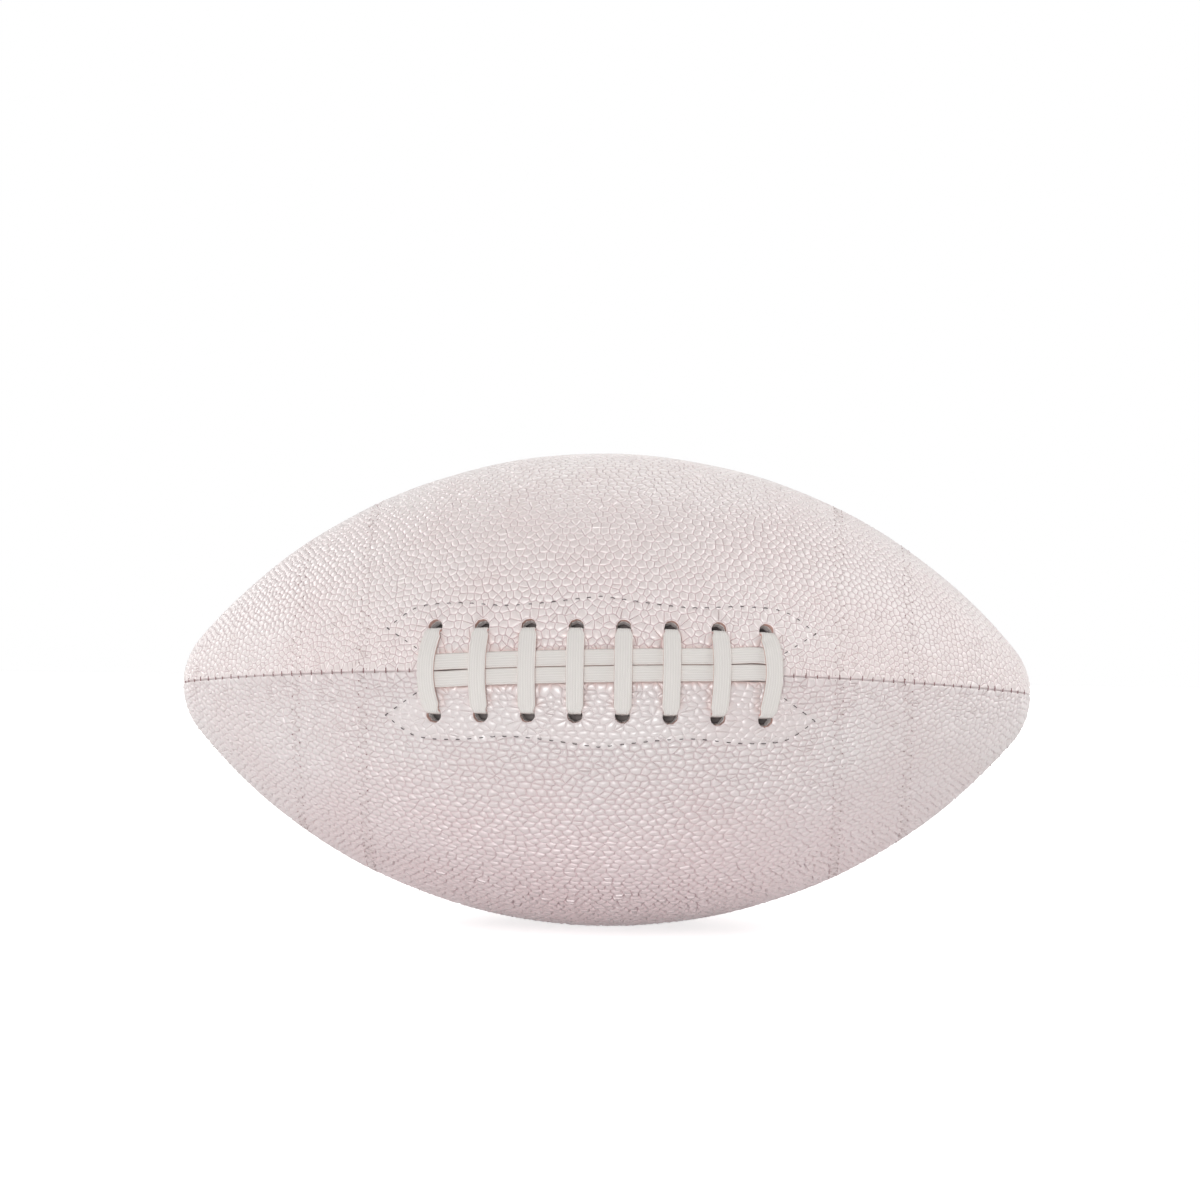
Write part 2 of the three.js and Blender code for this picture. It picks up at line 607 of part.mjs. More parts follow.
// The lace's least gap to itself, between points on its faces that lie well apart along it
function leastSelfGap(rings) {
  const apart = 2 * LACE_WIDTH;
  const points = [];
  let travelled = 0;
  for (let i = 0; i + 1 < rings.length; i++) {
    const length = rings[i][0].distanceTo(rings[i + 1][0]);
    const steps = Math.ceil(length / LACE_THICKNESS);
    for (let k = 0; k < steps; k++) {
      const ring = rings[i].map((point, j) => point.clone().lerp(rings[i + 1][j], k / steps));
      const between = ring.map((point, j) => point.clone().lerp(ring[(j + 1) % ring.length], 0.5));
      for (const place of [...ring, ...between]) points.push({ place, travelled });
      travelled += length / steps;
    }
  }
  let least = Infinity;
  points.forEach((one, i) => {
    for (let j = i + 1; j < points.length; j++) {
      if (points[j].travelled - one.travelled < apart) continue;
      least = Math.min(least, one.place.distanceToSquared(points[j].place));
    }
  });
  return Math.sqrt(least);
}

const LACE_RINGS = laceRings();
console.log(`least gap of the lace to itself: ${leastSelfGap(LACE_RINGS).toFixed(2)} mm`);

// Materials

const leather = new THREE.MeshStandardMaterial({ color: 0xe9dede, roughness: 0.42 });
const stripeLeather = new THREE.MeshStandardMaterial({ color: 0xe8dcdc, roughness: 0.42 });
const white = new THREE.MeshStandardMaterial({ color: 0xe6e3de, roughness: 0.8 });
const cloth = new THREE.MeshStandardMaterial({ color: 0x3a3637, roughness: 0.95 });
const facingLeather = new THREE.MeshStandardMaterial({ color: 0x4a4443, roughness: 0.85 });
const blackRubber = new THREE.MeshStandardMaterial({ color: 0x232324, roughness: 0.7 });
const whiteRubber = new THREE.MeshStandardMaterial({ color: 0xd8d2d0, roughness: 0.6 });

function add(name, geometry, material) {
  const mesh = new THREE.Mesh(geometry, material);
  mesh.name = name;
  ball.add(mesh);
  return mesh;
}

// Assembly

for (const quarter of QUARTERS) {
  add(`panel_${quarter.name}`, toGeometry(panel(quarter)), leather);
  add(`lining_${quarter.name}`, toGeometry(lining(quarter)), cloth);
  if (quarter.front < 0) continue;
  for (const [end, side] of [[-1, "left"], [1, "right"]]) {
    const name = `stripe_${side}_${quarter.up > 0 ? "upper" : "lower"}`;
    add(name, toGeometry(stripe(quarter, end)), stripeLeather);
  }
}
add("lace_facing_upper", toGeometry(facing(1)), facingLeather);
add("lace_facing_lower", toGeometry(facing(-1)), facingLeather);
add("lace_tongue", toGeometry(tongue()), facingLeather);
add("lace", sweep(LACE_RINGS), white);
add("bladder", toGeometry(bladder()), blackRubber);
for (const [name, geometry] of [["valve_housing", valveHousing()], ["valve_plug", valvePlug()]]) {
  const piece = add(name, geometry, whiteRubber);
  piece.position.copy(VALVE_PLACE.place);
  piece.quaternion.setFromUnitVectors(new THREE.Vector3(0, 1, 0), VALVE_PLACE.normal);
}

const football = new THREE.Group();
football.add(ball);

export default football;
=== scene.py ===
import json
import math
from collections import namedtuple

import bpy
import numpy as np
from mathutils import Matrix, Vector
from mathutils.geometry import delaunay_2d_cdt

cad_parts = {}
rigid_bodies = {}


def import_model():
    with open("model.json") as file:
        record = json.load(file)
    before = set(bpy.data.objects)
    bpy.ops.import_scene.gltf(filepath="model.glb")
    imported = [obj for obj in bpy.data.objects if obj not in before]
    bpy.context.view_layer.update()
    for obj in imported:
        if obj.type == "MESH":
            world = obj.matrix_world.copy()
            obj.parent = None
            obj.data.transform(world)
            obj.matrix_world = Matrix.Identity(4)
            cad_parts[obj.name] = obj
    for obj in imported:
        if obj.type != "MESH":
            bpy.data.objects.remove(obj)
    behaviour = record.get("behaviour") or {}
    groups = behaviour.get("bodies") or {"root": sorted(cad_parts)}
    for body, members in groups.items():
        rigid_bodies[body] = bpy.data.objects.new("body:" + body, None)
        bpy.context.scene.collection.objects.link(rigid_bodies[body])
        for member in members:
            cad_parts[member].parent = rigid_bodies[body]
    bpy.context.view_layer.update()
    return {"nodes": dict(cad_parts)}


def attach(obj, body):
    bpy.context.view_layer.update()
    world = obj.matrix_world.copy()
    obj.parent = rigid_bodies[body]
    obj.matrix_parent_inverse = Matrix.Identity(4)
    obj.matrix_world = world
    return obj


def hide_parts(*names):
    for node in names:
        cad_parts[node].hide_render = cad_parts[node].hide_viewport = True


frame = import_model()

# All lengths are in millimetres in the ball's own frame: its axis is X, the lacing
# faces +Z and the upper side is +Y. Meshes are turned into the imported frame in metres.
# A run is a length along the ball's outline from its middle, a turn is an angle about its
# axis from the lacing, and a swing is an angle about its axis from a panel's middle line.
MM = 0.001
SEED = 11
TINY = 1e-9
FAR = 1e9
POLE_RADIUS = 0.02  # the ball is never taken to be thinner than this

# The ball's form, as packed
BALL_LENGTH = 280.0
BALL_DIAMETER = 156.0
NOSE_RADIUS = 24.0
LACING_TURN = math.radians(8.0)
REST_SAG = 0.7
LEATHER = 2.4
FIT_GAP = 0.3

# Stripe bands
STRIPE_FROM_TIP = 42.0
STRIPE_WIDTH = 22.5
STRIPE_THICKNESS = 0.9
STRIPE_RECESS = STRIPE_THICKNESS + 0.15
STRIPE_NEIGHBOURS = 8.0  # pebbles this near a band shape its edge

# Lacing
BAR_COUNT = 8
BAR_PITCH = 14.95
EYELET_OFFSET = 14.2
EYELET_RADIUS = 2.4
EYELET_ROLL = 0.28
LACE_WIDTH = 5.7
LACE_THICKNESS = 1.2
RUN_WIDTH = 5.2
RUN_DRIFT = 1.5
RUN_SKEW = 0.03
SLIT_HALF_WIDTH = 4.5
SLIT_HALF_LENGTH = 57.1
SLIT_TAPER = 4.0
SLIT_SHOWN = 5.3
FACING_BOTTOM = 5.7
INNER_LACE = 8.13

# Valve
VALVE_TURN = math.radians(150.0)
VALVE_RADIUS = 4.2
VALVE_HOLE_RADIUS = 4.5
VALVE_HOLE_ROLL = 0.5
VALVE_RECESS = 0.4
VALVE_DEPTH = 6.0
VALVE_SIDES = 64
VALVE_CRISP = math.radians(50.0)
BORE_RADIUS = 2.5
PLUG_RADIUS = 2.46
NEEDLE_HOLE_RADIUS = 0.6
NEEDLE_MOUTH_RADIUS = 1.3
NEEDLE_MOUTH_DEPTH = 1.0

# Pebbled grain
PEBBLE_MIDDLE = 2.85
PEBBLE_END = 2.3
PEBBLE_SHRINKS_FROM = 25.0
PEBBLE_SHRINKS_TO = 95.0
PEBBLE_JITTER = 0.27
PEBBLE_FLAT = 0.62  # share of relief inside the stitched line, below the lacing
ROW_GAP = math.sqrt(3) / 2
MOST_ROWS = 38
OUTLINE_SAMPLES = 2001
GRAIN_BEND = 0.5  # least radius that the rows are bent to
GRAIN_SINK = 0.05
GRAIN_SHOWS = 0.9  # share of relief at which the grooves are fully shaded
EDGE_CLEARANCE = 0.32
MIRROR_REACH = 2.3
LEAST_MIRROR = 0.2
MERGE = 0.35
SLIVER = 1e-6

# The grain is bolder beside the bottom seam: turns from that seam, and the added share of relief
BOLD_FROM = 0.75
BOLD_FULL = 0.2
BOLD_BY = 1.0

# The slow unevenness of stretched leather
WAVER = 0.12
WAVER_LENGTH = 9.0
WAVER_SLANT = 23.0
WAVER_COUNT = 9
SWAY = 2.0
SWAY_COUNT = 3

# Edges and inner faces of leather pieces
CRISP = math.radians(40.0)
ROLL_LEANS = tuple(math.radians(degrees) for degrees in (30.0, 60.0, 90.0))
# These three are levels on the pebble colour ramp, which paints shade into the grooves and highlight
# onto the shoulders
ROLLED_SHADE = 0.75
CUT_SHADE = 0.25
INNER_SHADE = 0.5
LEAST_MITER = 0.7
LEAST_WALL = 0.05
JOINT_UNDERCUT = 0.5
POLE_GAP = 0.1
INNER_STEP = 8.0
INNER_MARGIN = 3.0
INNER_BEND = 2.0  # least radius that the inner grid is bent to
SHEET_EPSILON = 1e-7

# Seams, the channel pressed in by the facing's stitches, and the painted shade beside the lace
SEAM_INSET = 0.2
SEAM_ROLL = 0.17
SEAM_TAPER_RADIUS = 10.0
SEAM_LEAST = 0.02
STITCH_CHANNEL = 0.3
STITCH_CHANNEL_WIDTH = 1.1
CHANNEL_FLATTENS = 0.2
# The pink shade beside the lace is painted shade: its reach, strength, and share by the bars
PAINTED_SHADE_REACH = 0.8
PAINTED_SHADE_STRENGTH = 0.45
BAR_PAINTED_SHADE_SHARE = 0.6

RADIUS = BALL_DIAMETER / 2
NOSE_X = BALL_LENGTH / 2 - NOSE_RADIUS
BODY_ARC = (NOSE_X**2 + RADIUS**2 - NOSE_RADIUS**2) / (2 * (RADIUS - NOSE_RADIUS))
BODY_DROP = BODY_ARC - RADIUS
NOSE_ANGLE = math.atan2(NOSE_X, BODY_DROP)
BODY_RUN = BODY_ARC * NOSE_ANGLE
HALF_RUN = BODY_RUN + NOSE_RADIUS * (math.pi / 2 - NOSE_ANGLE)
AXIS_HEIGHT = RADIUS - REST_SAG
ROW_HALF = BAR_PITCH * (BAR_COUNT - 1) / 2
EYELETS = np.array([-ROW_HALF + k * BAR_PITCH for k in range(BAR_COUNT)])
HALF_PANEL = math.pi / 4
TILT = math.pi / 2 - LACING_TURN

# Middle lines of the panels, in half panels from the lacing, sides of the ball, and turns of the seams
PANELS = {"front_upper": 1, "back_upper": 3, "back_lower": -3, "front_lower": -1}
LEVELS = {"upper": 1, "lower": -1}
ENDS = {"left": -1, "right": 1}
SEAMS = {"front": 0.0, "top": math.pi / 2, "back": math.pi, "bottom": -math.pi / 2}


# The ball's surface
def meridian(run):
    """x, radius and lean of the outline at a run."""
    far = np.abs(run)
    body = far < BODY_RUN
    lean = np.where(body, far / BODY_ARC, NOSE_ANGLE + (far - BODY_RUN) / NOSE_RADIUS)
    x = np.where(body, BODY_ARC * np.sin(lean), NOSE_X + NOSE_RADIUS * np.sin(lean))
    r = np.where(body, BODY_ARC * np.cos(lean) - BODY_DROP, NOSE_RADIUS * np.cos(lean))
    side = np.where(run < 0, -1.0, 1.0)
    return side * x, r, side * lean


def run_at(x):
    return BODY_ARC * np.arcsin(np.asarray(x) / BODY_ARC)


def place(run, turn, height=0.0):
    """Point of the ball at a run, a turn and a height."""
    x, r, lean = meridian(run)
    out = r + height * np.cos(lean)
    return np.stack([x + height * np.sin(lean), out * np.sin(turn), out * np.cos(turn)], -1)


def normal_at(run, turn):
    lean = meridian(run)[2]
    return np.stack([np.sin(lean), np.cos(lean) * np.sin(turn), np.cos(lean) * np.cos(turn)], -1)


def settle(points):
    """Run and turn of the ball's surface under points."""
    x, y, z = points[..., 0], points[..., 1], points[..., 2]
    r = np.hypot(y, z)
    lean = np.arctan2(np.abs(x), r + BODY_DROP)
    nose = np.arctan2(np.abs(x) - NOSE_X, r)
    on_nose = BODY_RUN + (nose - NOSE_ANGLE) * NOSE_RADIUS
    run = np.where(lean < NOSE_ANGLE, lean * BODY_ARC, on_nose)
    return np.where(x < 0, -run, run), np.arctan2(y, z)


def wrapped(turn):
    return (turn + math.pi) % (2 * math.pi) - math.pi


def flat(run, swing):
    """Where a panel's point lay before the panel was bent."""
    _, r, lean = meridian(run)
    return np.stack([run + r * np.sin(lean) * swing**2 / 2, r * swing], -1)


def bent(along, across, least):
    """Run and swing of a flat panel's point, with the ball taken to be no thinner than least."""
    _, r, lean = meridian(along)
    run = along - np.sin(lean) * across**2 / (2 * np.maximum(r, least))
    r = meridian(np.clip(run, -HALF_RUN, HALF_RUN))[1]
    return run, across / np.maximum(r, POLE_RADIUS)


def smooth(low, high, value):
    t = np.clip((value - low) / (high - low), 0.0, 1.0)
    return t * t * (3 - 2 * t)


def unit(vectors):
    return vectors / np.maximum(np.linalg.norm(vectors, axis=-1, keepdims=True), TINY)


def distances(lines):
    """Lengths along lines of points from their first points."""
    steps = np.linalg.norm(np.diff(lines, axis=-2), axis=-1)
    return np.concatenate([np.zeros(steps.shape[:-1] + (1,)), np.cumsum(steps, -1)], -1)


def through(knots, step):
    """Points along a smooth line through knots, about a step apart."""
    knots = np.asarray(knots, float)
    ends = np.concatenate([[2 * knots[0] - knots[1]], knots, [2 * knots[-1] - knots[-2]]])
    lines = []
    for k in range(1, len(ends) - 2):
        p = ends[k - 1:k + 3]
        gap = np.maximum(np.linalg.norm(np.diff(p, axis=0), axis=-1) ** 0.5, TINY)
        one = (p[1] - p[0]) / gap[0] - (p[2] - p[0]) / (gap[0] + gap[1]) + (p[2] - p[1]) / gap[1]
        two = (p[2] - p[1]) / gap[1] - (p[3] - p[1]) / (gap[1] + gap[2]) + (p[3] - p[2]) / gap[2]
        one, two = one * gap[1], two * gap[1]
        count = max(2, int(np.linalg.norm(p[2] - p[1]) / step))
        t = np.arange(count)[:, None] / count
        lines.append((2 * t**3 - 3 * t**2 + 1) * p[1] + (t**3 - 2 * t**2 + t) * one
                     + (-2 * t**3 + 3 * t**2) * p[2] + (t**3 - t**2) * two)
    return np.concatenate(lines + [knots[-1:]])


# Meshes
class Mesh:
    """Points, faces and point values being gathered for one object."""

    def __init__(self):
        self.points, self.faces, self.values, self.total = [], [], {}, 0

    def add(self, points, **values):
        points = np.asarray(points, float).reshape(-1, 3)
        first = self.total
        self.points.append(points)
        self.total += len(points)
        for name, value in values.items():
            row = np.broadcast_to(np.asarray(value, float), len(points))
            self.values.setdefault(name, []).append(row)
        return np.arange(first, self.total)

    def face(self, corners):
        self.faces.append(corners.reshape(-1, corners.shape[-1]))

    def band(self, one, two):
        """Faces between two closed rings of points."""
        self.face(np.stack([one, np.roll(one, -1, -1), np.roll(two, -1, -1), two], -1))


def to_world(points):
    x, y, z = points.T
    c, s = math.cos(TILT), math.sin(TILT)
    return np.stack([x, y * c - z * s, y * s + z * c + AXIS_HEIGHT], -1)


def finish_mesh(name, mesh, material, replaces=(), grounded=False, crisp=None):
    """Makes a piece of a mesh. A grounded piece is flattened where it rests on the floor."""
    points = to_world(np.concatenate(mesh.points))
    if grounded:
        points[:, 2] = np.maximum(points[:, 2], 0.0)
    faces = [face for rows in mesh.faces for face in rows.tolist()]
    data = bpy.data.meshes.new(name)
    data.from_pydata((points * MM).tolist(), [], faces)
    data.validate()
    data.shade_smooth()
    for key, rows in mesh.values.items():
        layer = data.attributes.new(key, "FLOAT", "POINT")
        layer.data.foreach_set("value", np.concatenate(rows).astype(np.float32))
    if crisp:
        data.set_sharp_from_angle(angle=crisp)
    data.materials.append(material)
    piece = bpy.data.objects.new(name, data)
    bpy.context.scene.collection.objects.link(piece)
    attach(piece, "root")
    if replaces:
        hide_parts(*replaces)


def swept(name, lines, faces, shape, material, slot, replaces=(), **values):
    """Makes a piece of sections swept along lines of points, with their outer sides turned to faces.

    shape is the outline as (across, out), for each point of a line or for all.
    """
    ahead = unit(np.gradient(lines, axis=1))
    face = unit(faces - ahead * (faces * ahead).sum(-1, keepdims=True))
    wide = np.cross(face, ahead)
    lines_at, wide, face = (rows[:, :, None] for rows in (lines, wide, face))
    points = lines_at + wide * shape[..., :1] + face * shape[..., 1:]
    along = np.broadcast_to(distances(lines)[..., None], points.shape[:-1])
    mesh = Mesh()
    ids = mesh.add(points, along=along.ravel(), **values).reshape(points.shape[:-1])
    mesh.band(ids[:, :-1], ids[:, 1:])
    mesh.face(ids[:, 0, ::-1])
    mesh.face(ids[:, -1])
    finish_mesh(name, mesh, material, replaces)


# Grain
# A ring of a pebble's profile: how far it lies in from the pebble's edge, the most that this
# may be as a share of the way to the middle, and its level between the groove and the top
Ring = namedtuple("Ring", "width most level")
# One hide's pebbles: their height, how drawn out they are along the ball, how far their rows
# open out towards one seam, and the rings of their profile
Grain = namedtuple("Grain", "relief stretch opening rings")
GRAINS = {
    "upper": Grain(relief=0.46, stretch=1.0, opening=0.0,
                   rings=(Ring(0.3, 0.26, 0.55), Ring(0.75, 0.54, 0.96))),
    "lower": Grain(relief=0.64, stretch=1.2, opening=0.22,
                   rings=(Ring(0.35, 0.27, 0.45), Ring(0.8, 0.58, 0.84))),
}


def pebble_size(run):
    far = smooth(PEBBLE_SHRINKS_FROM, PEBBLE_SHRINKS_TO, np.abs(run))
    return PEBBLE_MIDDLE + (PEBBLE_END - PEBBLE_MIDDLE) * far


def pebble_seeds(rng, grain):
    """Middles of the pebbles of one panel: rows along the ball, packed as in a honeycomb."""
    line = np.linspace(-HALF_RUN, HALF_RUN, OUTLINE_SAMPLES)
    passed = np.cumsum(np.diff(line) / pebble_size((line[1:] + line[:-1]) / 2))
    count = np.concatenate([[0.0], passed]) / grain.stretch
    steps = np.arange(rng.uniform(0, 1), count[-1])
    rows = np.arange(-MOST_ROWS, MOST_ROWS + 1)
    along = np.interp(steps[:, None] + (rows % 2) / 2, count, line)
    size = pebble_size(along)
    across = rows * size * ROW_GAP / grain.stretch
    across = across - grain.opening * np.minimum(across, 0.0) ** 2 / (RADIUS * HALF_PANEL)
    along = along + rng.uniform(-1, 1, along.shape) * PEBBLE_JITTER * size * grain.stretch
    across = across + rng.uniform(-1, 1, along.shape) * PEBBLE_JITTER * size / grain.stretch
    run, swing = bent(along, across, GRAIN_BEND)
    keep = (np.abs(run) < HALF_RUN) & (np.abs(swing) < HALF_PANEL)
    return run[keep], swing[keep]


def signed_area(points, tris):
    """Twice the area of flat triangles, below nought where they run clockwise."""
    a, b, c = (points[tris[:, k]] for k in range(3))
    return (b[:, 0] - a[:, 0]) * (c[:, 1] - a[:, 1]) - (b[:, 1] - a[:, 1]) * (c[:, 0] - a[:, 0])


def cell_diagram(points):
    """Triangles between seeds, with the corner of the cells in each as weights of its seeds."""
    tris = np.array(delaunay_2d_cdt([Vector(p) for p in points], [], [], 0, TINY)[2])
    area = signed_area(points, tris)
    tris[area < 0] = tris[area < 0][:, ::-1]
    tris = tris[np.abs(area) > SLIVER]
    a, b, c = (points[tris[:, k]] for k in range(3))
    aa, bb, cc = ((p**2).sum(-1) for p in (b - c, c - a, a - b))
    weights = [aa * (bb + cc - aa), bb * (cc + aa - bb), cc * (aa + bb - cc)]
    weights = np.stack(weights, -1)
    return tris, weights / weights.sum(-1, keepdims=True)


def merged(tris, places):
    """Corner number for each triangle, with corners closer than MERGE made one."""
    label = np.arange(len(tris))

    def root(k):
        while label[k] != k:
            label[k] = label[label[k]]
            k = label[k]
        return k

    ends = np.sort(np.concatenate([tris[:, [0, 1]], tris[:, [1, 2]], tris[:, [2, 0]]]), -1)
    owner = np.tile(np.arange(len(tris)), 3)
    order = np.lexsort((ends[:, 1], ends[:, 0]))
    ends, owner = ends[order], owner[order]
    same = (ends[1:] == ends[:-1]).all(-1)
    first, second = owner[:-1][same], owner[1:][same]
    near = np.linalg.norm(places[first] - places[second], axis=-1) < MERGE
    for one, other in zip(first[near], second[near]):
        label[root(one)] = root(other)
    return np.array([root(k) for k in range(len(tris))])


# Edges of leather pieces. Each has a depth inside it, a mirror for the seeds near it, a snap
# onto it, a radius of its roll, and how far its wall shows cut leather or is undercut.
def seam_inset(run):
    return SEAM_INSET * np.clip(meridian(run)[1] / SEAM_TAPER_RADIUS, SEAM_LEAST, 1.0)


class Seam:
    """A panel's long edge, an inset away from the plane between two panels."""

    cut, undercut = 0.0, 0.0

    def __init__(self, side, inset=seam_inset):
        self.side, self.inset = side, inset

    def depth(self, run, swing):
        return meridian(run)[1] * (HALF_PANEL - self.side * swing) - self.inset(run)

    def moved(self, run, depth):
        r = np.maximum(meridian(run)[1], POLE_RADIUS)
        return run, self.side * (HALF_PANEL - (self.inset(run) + depth) / r)

    def mirror(self, run, swing):
        return self.moved(run, -self.depth(run, swing))

    def snap(self, run, swing):
        return self.moved(run, np.zeros_like(run))

    def roll(self, run):
        return seam_inset(run) * SEAM_ROLL / SEAM_INSET


class Joint:
    """Two pieces' common edge, which follows the grooves of the grain between two runs."""

    cut, undercut = 0.0, JOINT_UNDERCUT

    def __init__(self, low, high):
        self.low, self.high = low, high

    def depth(self, run, swing):
        return np.minimum(run - self.low, self.high - run)

    def snap(self, run, swing):
        return run, swing

    def roll(self, run):
        return np.zeros_like(run)


class Hole:
    """A round punched hole."""

    cut, undercut = 1.0, 0.0

    def __init__(self, run, swing, radius, roll):
        self.run, self.swing, self.inner, self.radius = run, swing, radius + roll, roll
        self.r = float(meridian(np.float64(run))[1])

    def offsets(self, run, swing):
        u, v = run - self.run, self.r * (swing - self.swing)
        return u, v, np.maximum(np.hypot(u, v), TINY)

    def depth(self, run, swing):
        return self.offsets(run, swing)[2] - self.inner

    def moved(self, run, swing, distance):
        u, v, far = self.offsets(run, swing)
        return self.run + u * distance / far, self.swing + v * distance / far / self.r

    def mirror(self, run, swing):
        far = self.offsets(run, swing)[2]
        return self.moved(run, swing, np.maximum(2 * self.inner - far, LEAST_MIRROR))

    def snap(self, run, swing):
        return self.moved(run, swing, self.inner)

    def roll(self, run):
        return np.full_like(run, self.radius)


class Hide:
    """The mesh of a leather piece: a pebble round each seed, rolled edges, a plain inner face.

    field(run, turn) gives each point's sink below the ball's form, share of relief and share of
    painted shade beside the lace.
    The cells marked as under lie in the stripes' recesses. A joint's edge runs between the
    seeds and those beyond it.
    """

    def __init__(self, seeds, edges, middle, thickness, grain, field,
                 under=None, joint=None, beyond=None):
        self.edges, self.middle, self.thickness = list(edges), middle, thickness
        self.grain, self.field, self.mesh = grain, field, Mesh()
        self.scatter(seeds, joint, beyond)
        self.cut_cells(len(seeds[0]), under)
        self.snap_corners()
        self.raise_pebbles()
        self.close_inside(*self.roll_edges())

    def scatter(self, seeds, joint, beyond):
        """All seeds, with their kind: the number of the edge they lie beyond, or -1 for none."""
        run, swing = seeds
        kinds = [np.full(len(run), -1)]
        if joint:
            run, swing = (np.concatenate(pair) for pair in zip(seeds, beyond))
            kinds.append(np.full(len(beyond[0]), len(self.edges)))
        runs, swings, reach = [run], [swing], MIRROR_REACH * pebble_size(run)
        for k, edge in enumerate(self.edges):
            near = edge.depth(run, swing) < reach
            mirrored = edge.mirror(run[near], swing[near])
            runs.append(mirrored[0])
            swings.append(mirrored[1])
            kinds.append(np.full(len(mirrored[0]), k))
        if joint:
            self.edges.append(joint)
        run, swing, self.kind = (np.concatenate(rows) for rows in (runs, swings, kinds))
        self.solid, self.layout = place(run, self.middle + swing), flat(run, swing)

    def cut_cells(self, count, under):
        """The cells' corners, the ring of corners round each seed, and the cells' shares of rim."""
        stretch = self.grain.stretch
        tris, weights = cell_diagram(self.layout * [1 / stretch, stretch])
        corners = (self.solid[tris] * weights[:, :, None]).sum(1)
        used, label = np.unique(merged(tris, corners), return_inverse=True)
        spot = np.zeros((len(used), 3))
        np.add.at(spot, label, corners)
        spot /= np.bincount(label)[:, None]

        owner = tris.ravel()
        before = np.roll(tris, 1, axis=1).ravel()
        of_tri = np.repeat(np.arange(len(tris)), 3)
        lead = self.layout[tris].mean(1)[of_tri] - self.layout[owner]
        order = np.lexsort((np.arctan2(lead[:, 1], lead[:, 0]), owner))
        begin = np.searchsorted(owner[order], np.arange(count + 1))
        self.rings, self.rim, mids = {}, [], {}
        for seed in range(count):
            span = order[begin[seed]:begin[seed + 1]]
            ids = label[of_tri[span]]
            keep = ids != np.roll(ids, -1)
            ring, across = ids[keep], before[span][keep]
            if len(ring) < 3:
                continue
            outer = []
            for one, other, beyond in zip(ring, np.roll(ring, -1), across):
                outer.append(one)
                if self.kind[beyond] >= 0:
                    ends = min(one, other), max(one, other)
                    mid = len(spot) + mids.setdefault(ends, len(mids))
                    outer.append(mid)
                    self.rim.append((one, mid, other, seed, beyond))
            sunk = under is not None and bool(under[seed])
            self.rings.setdefault((len(outer), sunk), []).append(outer)
        self.spot = np.concatenate([spot, spot[np.array(list(mids))].mean(1)])

    def snap_corners(self):
        """Moves the rim's corners onto the edges they touch, and two seams' corners to the tips."""
        self.run, turn = settle(self.spot)
        self.swing = wrapped(turn - self.middle)
        self.touching = {}
        for *corners, _, beyond in self.rim:
            for corner in corners:
                self.touching.setdefault(corner, set()).add(int(self.kind[beyond]))
        for k, edge in enumerate(self.edges):
            at = self.corners_at(k)
            self.run[at], self.swing[at] = edge.snap(self.run[at], self.swing[at])
        both = self.corners_at(0, 1)
        tips = both[np.abs(self.run[both]) > BODY_RUN]
        self.run[tips] = np.sign(self.run[tips]) * (HALF_RUN - POLE_GAP)
        self.swing[tips] = 0.0

    def corners_at(self, *kinds):
        at = [corner for corner, here in self.touching.items() if here.issuperset(kinds)]
        return np.array(at, int)

    def lay(self, run, turn, level, sunk):
        """Adds points at a level of the pebbles, from 0 in the grooves to 1 on top."""
        sink, share, painted_shade = self.field(run, turn)
        share = np.where(sunk, 0.0, share)
        relief = self.grain.relief * pebble_size(run) / PEBBLE_MIDDLE * share
        height = -sink - STRIPE_RECESS * sunk - relief * (1 - level)
        # The pebble value picks the colour ramp: painted shade in the grooves, painted highlight on
        # the shoulders
        shade = 1 - smooth(0.0, GRAIN_SHOWS, share) * (1 - level)
        # The cut value from the field is painted shade beside the lace; the rolled rims write the cut
        # edges' own colour
        return self.mesh.add(place(run, turn, height), pebble=shade, cut=painted_shade), height

    def raise_pebbles(self):
        sunk = np.ones(len(self.spot), bool)
        for (_, under), members in self.rings.items():
            if not under:
                sunk[np.array(members)] = False
        turn = self.middle + self.swing
        self.ids, self.height = self.lay(self.run, turn, 0.0, sunk)
        self.base = place(self.run, turn)
        for (_, under), members in self.rings.items():
            ring = np.array(members)
            outer = self.base[ring]
            centre = outer.mean(1)
            inward = centre[:, None] - outer
            far = np.linalg.norm(inward, axis=-1, keepdims=True)
            last = self.ids[ring]
            for width, most, level in self.grain.rings:
                inset = outer + inward * np.minimum(width / far, most)
                ids = self.lay(*settle(inset.reshape(-1, 3)), level, under)[0]
                ids = ids.reshape(ring.shape)
                self.mesh.band(last, ids)
                last = ids
            tops = self.lay(*settle(centre), 1.0, under)[0]
            tops = np.broadcast_to(tops[:, None], last.shape)
            self.mesh.face(np.stack([last, np.roll(last, -1, 1), tops], -1))

